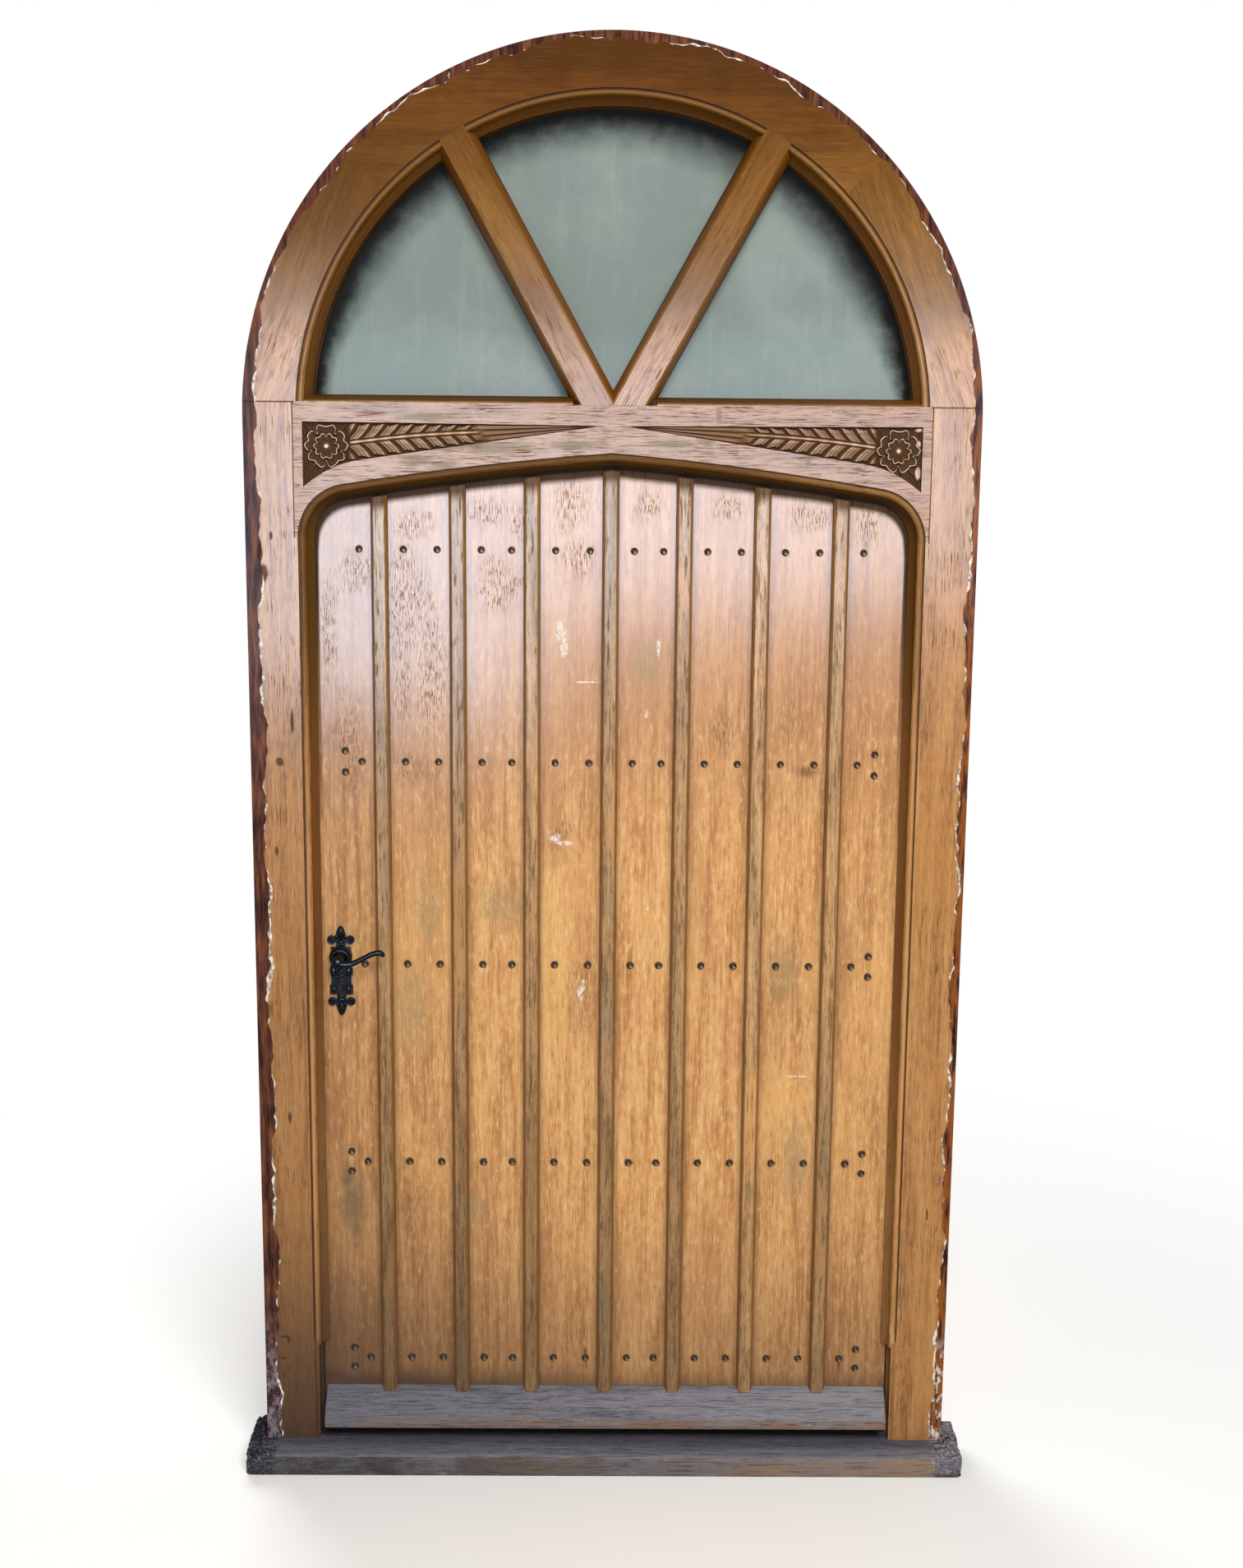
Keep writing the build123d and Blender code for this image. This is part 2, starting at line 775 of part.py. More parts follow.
# Boards
leaf_face = tudor_face(leaf_half - opening, leaf_bottom)
board_sheet = slab(leaf_face, stop_depth, framing_front)
edges_of_boards = [-leaf_half - board_gap / 2] + joint_places + [leaf_half + board_gap / 2]
for number in range(len(joint_places) + 1):
    x0 = edges_of_boards[number] + board_gap / 2
    x1 = edges_of_boards[number + 1] - board_gap / 2
    board = board_sheet & block(x0, x1, 0, frame_depth, 0, head_top)
    board = drilled(board)
    if x0 < spindle_x < x1:
        board = board - spindle_hole - key_way
    pieces[f"board_{number + 1}"] = board

# Weatherboard, clear of the latch-side jamb as the leaf swings
weather_nose = stop_depth - weatherboard_projection
groove = weather_nose + drip_groove_inset
weather_face = outline(
    (stop_depth, weatherboard_bottom),
    (stop_depth, weatherboard_top),
    (weather_nose, weatherboard_nose_top),
    (weather_nose, weatherboard_bottom),
    (groove, weatherboard_bottom),
    (groove, weatherboard_bottom + drip_groove_depth),
    (groove + drip_groove_width, weatherboard_bottom + drip_groove_depth),
    (groove + drip_groove_width, weatherboard_bottom),
)
weatherboard = along_x(weather_face, latch_edge + weatherboard_latch_setback, leaf_half)
pieces["weatherboard"] = weatherboard

# Cover strips, coped over the weatherboard and clipped at the foot
strip_sheet = slab(tudor_face(-strip_top_gap, strip_bottom), stop_depth - strip_thickness, stop_depth)
strip_front = stop_depth - strip_thickness
for number, joint in enumerate(joint_places):
    half = strip_width / 2
    flat = strip_flat / 2
    strip_section = outline(
        (joint - half, stop_depth),
        (joint - half, stop_depth - strip_lip),
        (joint - flat, strip_front),
        (joint + flat, strip_front),
        (joint + half, stop_depth - strip_lip),
        (joint + half, stop_depth),
    )
    strip = strip_sheet & along_z(strip_section, strip_bottom, head_top)
    for side in (-1, 1):
        clip = outline(
            (joint + side * half, strip_bottom),
            (joint + side * (half - strip_corner_clip), strip_bottom),
            (joint + side * half, strip_bottom + strip_corner_clip),
        )
        strip -= slab(clip, strip_front, stop_depth)
    pieces[f"cover_strip_{number + 1}"] = strip - weatherboard

# Framing behind the boards: stiles run through, rails are tenoned into them
framing = slab(leaf_face, framing_front, leaf_back)
stile_inner = leaf_half - stile_width
lock_stile = framing & block(-far, -stile_inner, 0, far, 0, head_top)
hinge_stile = framing & block(stile_inner, far, 0, far, 0, head_top)
top_rail = framing & block(-stile_inner, stile_inner, 0, far, top_rail_bottom, head_top)
rail_spans = {
    "upper_rail": (row_upper - rail_height / 2, row_upper + rail_height / 2),
    "lock_rail": (row_lock - rail_height / 2, row_lock + rail_height / 2),
    "lower_rail": (row_lower - rail_height / 2, row_lower + rail_height / 2),
    "bottom_rail": (leaf_bottom, bottom_rail_top),
    "top_rail": (top_rail_bottom, top_rail_bottom + rail_height),
}
rail_back = leaf_back - rail_tenon_inset


def rail_tenons(low, high, clearance):
    """Stub tenons at both ends of a rail, in the back half of its thickness clear of the nails."""
    shoulder = (high - low) * rail_shoulder_share
    end = stile_inner + rail_tenon + clearance
    y0 = rail_back - rail_tenon_thickness - clearance
    z0 = low + shoulder - clearance
    z1 = high - shoulder + clearance
    right = block(stile_inner, end, y0, rail_back + clearance, z0, z1)
    return right, other_side(right)


for name, (low, high) in rail_spans.items():
    rail = top_rail
    if name != "top_rail":
        rail = block(-stile_inner, stile_inner, framing_front, leaf_back, low, high)
    right_tenon, left_tenon = rail_tenons(low, high, 0)
    pieces[name] = drilled(rail) + right_tenon + left_tenon
    right_mortise, left_mortise = rail_tenons(low, high, tenon_clearance)
    hinge_stile -= right_mortise
    lock_stile -= left_mortise

# Mortise lock in the lock stile
case_x0 = latch_edge + forend_thickness
case_x1 = case_x0 + case_length
case_y0 = framing_middle - case_thickness / 2
case_y1 = framing_middle + case_thickness / 2
forend_y0 = framing_middle - forend_width / 2
forend_y1 = framing_middle + forend_width / 2
forend_low = case_bottom - forend_overlap
forend_high = case_top + forend_overlap
latch_low = spindle_height - latch_height / 2
latch_high = spindle_height + latch_height / 2
dead_low = keyhole_height - dead_height / 2
dead_high = keyhole_height + dead_height / 2


def latch_space(x0, x1, clearance):
    y0 = framing_middle - latch_thickness / 2 - clearance
    y1 = framing_middle + latch_thickness / 2 + clearance
    return block(x0, x1, y0, y1, latch_low - clearance, latch_high + clearance)


def dead_space(x0, x1, clearance):
    y0 = framing_middle - dead_thickness / 2 - clearance
    y1 = framing_middle + dead_thickness / 2 + clearance
    return block(x0, x1, y0, y1, dead_low - clearance, dead_high + clearance)


mortise = block(
    latch_edge,
    case_x1 + case_clearance,
    case_y0 - case_clearance,
    case_y1 + case_clearance,
    case_bottom - case_clearance,
    case_top + case_clearance,
)
lock_stile -= mortise
lock_stile -= block(latch_edge, case_x0, forend_y0, forend_y1, forend_low, forend_high)
lock_stile -= spindle_hole
lock_stile -= key_way
pieces["lock_stile"] = drilled(lock_stile)

case = block(case_x0, case_x1, case_y0, case_y1, case_bottom, case_top)
case -= block(
    case_x0 + case_wall,
    case_x1 - case_wall,
    case_y0 + case_wall,
    case_y1 - case_wall,
    case_bottom + case_wall,
    case_top - case_wall,
)
hub_bore = neck_radius + running_clearance
case -= rod(hub_bore, spindle_x, spindle_height, case_y0 - overrun, case_y1 + overrun)
case -= key_way
case -= latch_space(case_x0 - overrun, case_x0 + case_wall, bolt_clearance)
case -= dead_space(case_x0 - overrun, case_x0 + case_wall, bolt_clearance)
pieces["lock_case"] = case
forend = block(latch_edge, case_x0, forend_y0, forend_y1, forend_low, forend_high)
forend -= latch_space(latch_edge - overrun, case_x0 + overrun, bolt_clearance)
forend -= dead_space(latch_edge - overrun, case_x0 + overrun, bolt_clearance)
pieces["lock_forend"] = forend

latch = latch_space(latch_edge - latch_throw, latch_edge - latch_throw + latch_length, 0)
bevel = outline(
    (latch_edge - latch_throw, framing_middle + bolt_half),
    (latch_edge - latch_throw, framing_middle + bolt_half - latch_bevel),
    (latch_edge, framing_middle + bolt_half),
)
pieces["latch_bolt"] = latch - along_z(bevel, latch_low, latch_high)
pieces["dead_bolt"] = dead_space(latch_edge, latch_edge + dead_length, 0)
square = spindle_size + 2 * spindle_clearance
square_hole = Pos(spindle_x, 0, spindle_height) * Box(square, far, square)
follower = rod(neck_radius, spindle_x, spindle_height, case_y0, case_y1)
follower_y = framing_middle - follower_length / 2
follower += rod(follower_radius, spindle_x, spindle_height, follower_y, follower_y + follower_length)
pieces["follower"] = follower - square_hole


# Strike plate on the rebate of the latch-side jamb, and the pockets behind it
strike_x1 = -rebate
strike_x0 = strike_x1 - strike_thickness
strike_low = dead_low - strike_overlap
strike_high = latch_high + strike_overlap
strike = block(strike_x0, strike_x1, forend_y0, forend_y1, strike_low, strike_high)
strike -= latch_space(strike_x0 - overrun, strike_x1 + overrun, strike_hole_clearance)
strike -= dead_space(strike_x0 - overrun, strike_x1 + overrun, strike_hole_clearance)
along_minus_x = Rot(Z=90)
strike_screw = along_minus_x * screw(
    hinge_screw_radius, hinge_screw_head, strike_thickness, hinge_screw_length
)
strike_screw_hole = along_minus_x * screw(
    hinge_screw_radius + hinge_screw_clearance,
    hinge_screw_head + hinge_screw_clearance,
    strike_thickness,
    hinge_screw_length + hinge_screw_clearance,
)
strike_screw_places = [
    Pos(strike_x1, framing_middle, strike_low + strike_screw_inset),
    Pos(strike_x1, framing_middle, strike_high - strike_screw_inset),
]
jamb_left = other_side(jamb)
jamb_left -= block(strike_x0, strike_x1, forend_y0, forend_y1, strike_low, strike_high)
jamb_left -= latch_space(strike_x1 - pocket_depth, strike_x1, strike_hole_clearance)
jamb_left -= dead_space(strike_x1 - pocket_depth, strike_x1, strike_hole_clearance)
for place in strike_screw_places:
    strike -= place * strike_screw_hole
    jamb_left -= place * strike_screw_hole
pieces["strike_plate"] = strike
pieces["strike_screws"] = Compound([place * strike_screw for place in strike_screw_places])
pieces["jamb_left"] = jamb_left

# Butt hinges
knuckle_length = hinge_height / hinge_knuckles
pin_bore = hinge_pin_radius + running_clearance
frame_flaps = []
leaf_flaps = []
hinge_pins = []
frame_screws = []
leaf_screws = []
along_plus_x = Rot(Z=-90)
hinge_screw = screw(hinge_screw_radius, hinge_screw_head, hinge_flap_thickness, hinge_screw_length)
hinge_screw_hole = screw(
    hinge_screw_radius + hinge_screw_clearance,
    hinge_screw_head + hinge_screw_clearance,
    hinge_flap_thickness,
    hinge_screw_length + hinge_screw_clearance,
)
flap_y0 = framing_front
screw_y = framing_middle


def knuckle_part(number, middle, plate_x0, plate_x1, flap_back):
    """One knuckle with the tab that joins it to its flap."""
    z0 = middle - hinge_height / 2 + number * knuckle_length + hinge_knuckle_gap / 2
    z1 = z0 + knuckle_length - hinge_knuckle_gap
    barrel = Pos(hinge_axis_x, hinge_axis_y, (z0 + z1) / 2) * Cylinder(hinge_knuckle_radius, z1 - z0)
    tab = block(plate_x0, plate_x1, flap_back, hinge_axis_y, z0, z1)
    bore = Pos(hinge_axis_x, hinge_axis_y, (z0 + z1) / 2) * Cylinder(pin_bore, z1 - z0)
    return barrel + tab - bore


for middle in (hinge_low, hinge_middle, hinge_high):
    low = middle - hinge_height / 2
    high = middle + hinge_height / 2
    frame_back = frame_depth - hinge_tab_gap
    leaf_edge_back = leaf_back - hinge_tab_gap
    frame_x = rebate + hinge_flap_thickness
    leaf_x = leaf_half - hinge_flap_thickness
    frame_flap = block(rebate, frame_x, flap_y0, frame_back, low, high)
    leaf_flap = block(leaf_x, leaf_half, flap_y0, leaf_edge_back, low, high)
    for number in range(hinge_knuckles):
        if number % 2 == 0:
            frame_flap += knuckle_part(number, middle, rebate, frame_x, frame_back)
        else:
            leaf_flap += knuckle_part(number, middle, leaf_x, leaf_half, leaf_edge_back)
    jamb -= block(rebate, frame_x, flap_y0, frame_depth + overrun, low, high)
    hinge_stile -= block(leaf_x, far, flap_y0, frame_depth, low, high)
    for share in hinge_screw_shares:
        z = middle + share * hinge_height
        frame_place = Pos(rebate, screw_y, z) * along_plus_x
        leaf_place = Pos(leaf_half, screw_y, z) * along_minus_x
        frame_flap -= frame_place * hinge_screw_hole
        leaf_flap -= leaf_place * hinge_screw_hole
        jamb -= frame_place * hinge_screw_hole
        hinge_stile -= leaf_place * hinge_screw_hole
        frame_screws.append(frame_place * hinge_screw)
        leaf_screws.append(leaf_place * hinge_screw)
    frame_flaps.append(frame_flap)
    leaf_flaps.append(leaf_flap)
    hinge_pins.append(Pos(hinge_axis_x, hinge_axis_y, middle) * Cylinder(hinge_pin_radius, hinge_height))
pieces["jamb_right"] = jamb
pieces["hinge_stile"] = drilled(hinge_stile)
pieces["hinge_frame_flaps"] = Compound(frame_flaps)
pieces["hinge_leaf_flaps"] = Compound(leaf_flaps)
pieces["hinge_pins"] = Compound(hinge_pins)
pieces["hinge_frame_screws"] = Compound(frame_screws)
pieces["hinge_leaf_screws"] = Compound(leaf_screws)


# Backplates with fleur-de-lis ends, and levers on a square spindle
def finial(rise):
    """Pointed middle leaf of the fleur-de-lis, with its two side scrolls."""
    side = 1 if rise > 0 else -1
    tip = (0, side * plate_length / 2)
    root = (0, side * (plate_length / 2 - finial_length))
    middle = side * (plate_length / 2 - finial_length / 2)
    leaf = make_face([
        ThreePointArc(root, (finial_width / 2, middle), tip),
        ThreePointArc(tip, (-finial_width / 2, middle), root),
    ])
    shape = leaf + Pos(0, side * scroll_rise) * Rectangle(2 * scroll_spread, scroll_radius)
    for place in (-scroll_spread, scroll_spread):
        shape += Pos(place, side * scroll_rise) * Circle(scroll_radius)
    neck_rise = side * scroll_rise * finial_neck_share
    return shape + Pos(0, neck_rise) * Rectangle(finial_width, finial_length / 2)


plate_face = Rectangle(plate_waist, plate_body_length)
plate_face += Pos(0, plate_spindle_rise) * Circle(rose_plate_radius)
plate_face += Circle(plate_width / 2)
band_middle = (foot_band_height - plate_body_length) / 2
plate_face += Pos(0, band_middle) * Rectangle(plate_width, foot_band_height)
plate_face += finial(1)
plate_face += finial(-1)
plate_face = Pos(spindle_x, plate_middle) * plate_face
plate_front = stop_depth - plate_thickness
rose_front = plate_front - rose_plate_rise
plate = slab(plate_face, plate_front, stop_depth)
plate += rod(rose_plate_radius, spindle_x, spindle_height, rose_front, plate_front)
plate -= rod(hub_bore, spindle_x, spindle_height, rose_front - overrun, stop_depth + overrun)
plate -= keyhole(plate_front - overrun, stop_depth + overrun)
plate_screw = screw(
    plate_screw_radius, plate_screw_head, plate_screw_head_height, plate_screw_length, flush=False
)
screw_rise = plate_length / 2 - finial_length / 2
plate_screws = []
for rise in (-screw_rise, screw_rise):
    place = Pos(spindle_x, plate_front, plate_middle + rise)
    hole = rod(
        plate_screw_radius + nail_clearance,
        spindle_x,
        plate_middle + rise,
        plate_front - overrun,
        plate_front + plate_screw_length + nail_clearance,
    )
    plate -= hole
    pieces["board_1"] = pieces["board_1"] - hole
    plate_screws.append(place * plate_screw)
mid_leaf = Plane(origin=(0, (stop_depth + leaf_back) / 2, 0), z_dir=(0, 1, 0))
pieces["outer_backplate"] = plate
pieces["inner_backplate"] = mirror(plate, about=mid_leaf)
inner_screws = [mirror(item, about=mid_leaf) for item in plate_screws]
for item in (screw_rise, -screw_rise):
    pieces["lock_stile"] = pieces["lock_stile"] - rod(
        plate_screw_radius + nail_clearance,
        spindle_x,
        plate_middle + item,
        leaf_back + plate_thickness - plate_screw_length - nail_clearance,
        leaf_back,
    )
pieces["backplate_screws"] = Compound(plate_screws + inner_screws)

hub_back = rose_front - hub_gap
hub_front = hub_back - hub_length
arm_y = hub_front + lever_radius
arm_start = (spindle_x, arm_y, spindle_height)
arm_end = (spindle_x + lever_reach, arm_y, spindle_height + lever_rise)
arm_middle = (
    spindle_x + lever_reach / 2,
    arm_y,
    spindle_height + lever_rise / 2 + lever_bow,
)
arm_path = ThreePointArc(arm_start, arm_middle, arm_end)
arm = sweep(Plane(origin=arm_path @ 0, z_dir=arm_path % 0) * Circle(lever_radius), arm_path)
lever = rod(hub_radius, spindle_x, spindle_height, hub_front, hub_back)
lever += rod(neck_radius, spindle_x, spindle_height, hub_back, stop_depth)
lever += arm
lever += Pos(*arm_end) * Sphere(lever_end_radius)
spindle_end = hub_front + hub_radius
lever -= square_hole & block(-far, far, spindle_end, far, 0, head_top)
pieces["outer_lever"] = lever
pieces["inner_lever"] = mirror(lever, about=mid_leaf)
half_square = spindle_size / 2
pieces["spindle"] = block(
    spindle_x - half_square,
    spindle_x + half_square,
    spindle_end + spindle_clearance,
    stop_depth + leaf_back - spindle_end - spindle_clearance,
    spindle_height - half_square,
    spindle_height + half_square,
)

os.makedirs("parts", exist_ok=True)
for name, piece in pieces.items():
    export_step(piece, f"parts/{name}.step")
    print(name, round(piece.volume / 1000, 2), "cm3")
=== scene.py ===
import math
import bmesh
import bpy
import numpy as np
from mathutils import Matrix, Vector, noise


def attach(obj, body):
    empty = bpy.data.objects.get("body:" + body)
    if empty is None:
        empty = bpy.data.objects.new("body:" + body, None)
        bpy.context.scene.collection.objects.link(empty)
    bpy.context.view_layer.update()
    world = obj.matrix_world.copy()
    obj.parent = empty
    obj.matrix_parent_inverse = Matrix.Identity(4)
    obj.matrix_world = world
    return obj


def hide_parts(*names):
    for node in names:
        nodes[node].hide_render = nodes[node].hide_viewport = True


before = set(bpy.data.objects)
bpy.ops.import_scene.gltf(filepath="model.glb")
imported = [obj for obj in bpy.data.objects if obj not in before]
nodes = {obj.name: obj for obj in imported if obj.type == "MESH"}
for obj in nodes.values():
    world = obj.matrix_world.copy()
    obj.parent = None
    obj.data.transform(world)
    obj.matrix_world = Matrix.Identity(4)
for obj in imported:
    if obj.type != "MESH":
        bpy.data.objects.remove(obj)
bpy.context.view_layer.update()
print("frame loaded:", len(nodes), "nodes")

mm = 0.001

# places shared by several pieces, in metres and degrees
door = {
    "outer": 0.6,             # half the frame's width, and the head's radius
    "spring": 1.826,          # height of the head's springing
    "sight": 0.49,            # half the opening
    "joints": (-0.3837, -0.255, -0.132, -0.002, 0.1195, 0.248, 0.3777),
    "rows": (0.187, 0.553, 0.909, 1.26, 1.615),
    "nailLeft": 0.034,        # nails stand this far left and right of a joint
    "nailRight": 0.039,
    "edgeNail": 0.446,
    "edgeRise": 0.018,
    "barAngle": 29.1,
    "quirk": 0.514,           # radius of the head's quirk
    "seam": 1.851,            # joint between jambs and head
    "shoulder": 0.5198,       # joint between jambs and transom
    "opening": 0.0241,        # the leaf's sight line, in from the quirk
}


# the bare band round the frame: its mean width, and waves (length, height, shift) that its inner edge follows
band = {
    "left": 0.0235, "right": 0.0125, "head": 0.0115,
    "waves": ((0.31, 0.0032, 0.4), (0.131, 0.0021, 1.9), (0.071, 0.0014, 3.1), (0.0412, 0.001, 0.7),
              (0.0231, 0.0007, 5.2)),
    "masticWaves": ((0.47, 1.0, 0.9), (0.173, 1.0, 2.2), (0.083, 0.8, 4.0), (0.037, 0.7, 1.3), (0.019, 0.45, 2.9)),
    "rightShift": 2.1,                              # the right side follows the same waves from another place
    "thick": 0.0011, "mean": 0.0005, "tall": 0.0013, "step": 0.002,
    "most": 0.003, "least": 0.0003, "full": 0.0012, "first": 22,   # half widths of the mastic, and its first step
    "rise": (1.75, 0.25), "thin": 0.45,             # towards the head it grows narrower and thinner
    "foot": 0.011, "footReach": (0.26, 0.06),       # the right foot has lost more
    # one section across a run of mastic: share of its half width and of its height
    "section": ((-1, -0.5), (-0.8, 0.6), (-0.2, 1.0), (0.35, 0.9), (0.85, 0.5), (1, -0.5)),
    "join": 0.000002,
    "lumps": ((-1, 0.905, 0.04, 0.0042), (-1, 1.455, 0.03, 0.0016), (-1, 1.18, 0.016, 0.0014),
              (1, 1.027, 0.022, 0.0016), (1, 1.33, 0.05, 0.0008)),  # side, height, reach, half width
}


def tone(red, green, blue):
    parts = []
    for part in (red, green, blue):
        share = part / 255
        parts.append(share / 12.92 if share <= 0.04045 else ((share + 0.055) / 1.055) ** 2.4)
    return (*parts, 1.0)


def tones(**colours):
    return {name: tone(*parts) for name, parts in colours.items()}


def pairSum(operation, swapped=False):  # a sum of two terms, as a method
    def method(self, term):
        return self.reckon(operation, *((term, self) if swapped else (self, term)))
    return method


class Value:  # a socket in a finish, for sums written as Python
    def __init__(self, finish, socket):
        self.finish = finish
        self.socket = socket

    def other(self, name):
        return Value(self.finish, self.socket.node.outputs[name])

    def reckon(self, operation, *terms):
        return self.finish.node("Math", {"operation": operation}, dict(enumerate(terms)))

    __add__, __radd__ = pairSum("ADD"), pairSum("ADD", True)
    __sub__, __rsub__ = pairSum("SUBTRACT"), pairSum("SUBTRACT", True)
    __mul__, __rmul__ = pairSum("MULTIPLY"), pairSum("MULTIPLY", True)
    __truediv__, __rtruediv__ = pairSum("DIVIDE"), pairSum("DIVIDE", True)
    __pow__, __gt__, __lt__ = pairSum("POWER"), pairSum("GREATER_THAN"), pairSum("LESS_THAN")
    most, least = pairSum("MAXIMUM"), pairSum("MINIMUM")

    def __abs__(self):
        return self.reckon("ABSOLUTE", self)

    def sine(self):
        return self.reckon("SINE", self)

    def smooth(self, low, high):  # 0 at low, 1 at high
        return self.finish.node("MapRange", {"interpolation_type": "SMOOTHSTEP"}, {0: self, 1: low, 2: high})


class Graph:
    def __init__(self, owner):
        owner.use_nodes = True
        self.tree = owner.node_tree
        self.tree.nodes.clear()

    def node(self, kind, settings=None, sockets=None, output=0):
        made = self.tree.nodes.new("ShaderNode" + kind)
        for key, value in (settings or {}).items():
            if key == "stops":
                ramp = made.color_ramp
                ramp.elements.remove(ramp.elements[1])
                ramp.elements[0].position, ramp.elements[0].color = value[0]
                for place, colour in value[1:]:
                    ramp.elements.new(place).color = colour
            elif key == "interpolation":
                made.color_ramp.interpolation = value
            else:
                setattr(made, key, value)
        for key, value in (sockets or {}).items():
            if isinstance(value, Value):
                self.tree.links.new(value.socket, made.inputs[key])
            else:
                made.inputs[key].default_value = value
        return Value(self, made.outputs[output]) if made.outputs else None


class Finish(Graph):
    def __init__(self, name, look=None):
        self.material = bpy.data.materials.new(name)
        self.look = look
        self.colour = None
        super().__init__(self.material)
        self.here = self.node("TexCoord", output="Object")
        split = self.node("SeparateXYZ", sockets={0: self.here})
        self.x, self.y, self.z = split.other("X"), split.other("Y"), split.other("Z")

    def vector(self, x, y, z):
        return self.node("CombineXYZ", sockets={0: x, 1: y, 2: z})

    def scaled(self, place, scale, shift=(0, 0, 0)):
        return self.node("Mapping", sockets={"Vector": place, "Scale": scale, "Location": shift})

    def turned(self, place, degrees):  # about the depth axis
        return self.node("Mapping", sockets={"Vector": place, "Rotation": (0, math.radians(degrees), 0)})

    def noise(self, place, scale, detail=3, rough=0.55, twist=0):
        sockets = {"Vector": place, "Scale": scale, "Detail": detail, "Roughness": rough, "Distortion": twist}
        return self.node("TexNoise", sockets=sockets)

    def streaks(self, place, run, scale, *rest):  # noise drawn out along the height
        return self.noise(self.scaled(place, (1, 1, run)), scale, *rest)

    def pick(self, colour):  # a tone of the look by its name, or a colour as it is
        return self.look[colour] if isinstance(colour, str) else colour

    def ramp(self, factor, *stops, step=False):
        stops = [(place, self.pick(colour)) for place, colour in stops]
        settings = {"interpolation": "CONSTANT" if step else "LINEAR", "stops": stops}
        return self.node("ValToRGB", settings, {0: factor})

    def mix(self, factor, first, second, mode="MIX"):
        settings = {"data_type": "RGBA", "blend_type": mode}
        return self.node("Mix", settings, {0: factor, 6: self.pick(first), 7: self.pick(second)}, output=2)

    def lay(self, amount, over, mode="MIX"):  # over the colour that is there
        self.colour = self.mix(amount, self.colour, over, mode)

    def nearest(self, value, places):  # distance to the nearest of several places
        found = None
        for place in places:
            gap = abs(value - place)
            found = gap if found is None else found.least(gap)
        return found

    def spots(self, marks, soft=0.35, ragged=0.5, scale=60):  # oval marks: middle x, z and half sizes in mm
        wander = (self.noise(self.here, scale, 3, 0.6) - 0.5) * (2 * ragged)
        found = None
        for x, z, halfWide, halfHigh in marks:
            size = (1 / (halfWide * mm), 0, 1 / (halfHigh * mm))
            shift = (-x / halfWide, 0, -z / halfHigh)
            place = self.scaled(self.here, size, shift)
            away = self.node("VectorMath", {"operation": "LENGTH"}, {0: place}, output="Value")
            mark = (away + wander).smooth(1 + soft, 1 - soft)
            found = mark if found is None else found.most(mark)
        return found

    def shade(self, rough, bump=None, coat=None, **fixed):
        sockets = {"Base Color": self.colour, "Roughness": rough}
        if bump is not None:
            relief = dict(zip(("Height", "Strength", "Distance"), bump))
            sockets["Normal"] = self.node("Bump", sockets=relief)
        if coat is not None:
            sockets["Coat Weight"] = coat
        sockets.update({key.replace("_", " "): value for key, value in fixed.items()})
        shader = self.node("BsdfPrincipled", sockets=sockets)
        self.node("OutputMaterial", sockets={"Surface": shader})
        return self.material


# oak: grain that runs along a turned axis
def oakGrain(f, place, turn, run=0.028, scale=1.0):
    along = f.turned(place, turn) if turn else place
    broad = f.streaks(along, run, 170 * scale, 2, 0.5)
    fine = f.streaks(along, run * 1.2, 480 * scale, 3, 0.65)
    rings = (f.streaks(along, 0.07, 16 * scale, 2, 0.4) * 34).sine() * 0.5 + 0.5
    fleck = f.streaks(along, 0.3, 130 * scale, 4, 0.72)
    return {
        "along": along, "broad": broad, "fine": fine, "fleck": fleck,
        "pores": f.streaks(along, 0.035, 720 * scale, 2, 0.55).smooth(0.58, 0.68),
        "ticks": f.streaks(along, 0.045, 520 * scale, 3, 0.7).smooth(0.55, 0.61),
        "all": broad * 0.24 + fine * 0.34 + fleck * 0.34 + rings * 0.08,
    }


# the opening's outline at the frame's quirk: a low curve under the transom, and a round corner each side
arch = {"apex": 1.7735, "slope": 0.076, "bend": 0.1034,
        "corner": (0.427, 1.634), "radius": 0.087, "cornerStart": 0.437}


def archGap(f, inset):  # distance in from that outline, set in by a little
    side = abs(f.x)
    under = arch["apex"] - inset - side * arch["slope"] - side * side * arch["bend"] - f.z
    up, out = (f.z - arch["corner"][1]).most(0), side - arch["corner"][0]
    return under.least(arch["radius"] - inset - (up * up + out * out) ** 0.5 + (side < arch["cornerStart"]))


# frame of the door: jambs, head, transom and bars, with the bare band and mastic round the outside
frameLook = tones(
    dark=(136, 92, 50), body=(172, 122, 72), light=(190, 140, 86), honey=(186, 130, 66), pore=(92, 60, 34),
    cove=(104, 60, 14), grime=(62, 46, 38), head=(108, 71, 27), headLight=(140, 98, 43), crown=(72, 42, 9),
    crownBody=(104, 62, 18), bare=(82, 46, 34), bareDark=(40, 22, 20), bareCold=(46, 38, 44),
    bareWarm=(120, 70, 40), bareRight=(132, 74, 28), flake=(150, 136, 138), green=(112, 104, 74),
    weathered=(116, 80, 50), coveDeep=(58, 34, 6), moulding=(80, 52, 16), crack=(70, 48, 32), soot=(24, 15, 8),
    coveLow=(136, 92, 44), chip=(196, 156, 104), violet=(122, 116, 130), white=(222, 212, 200),
)
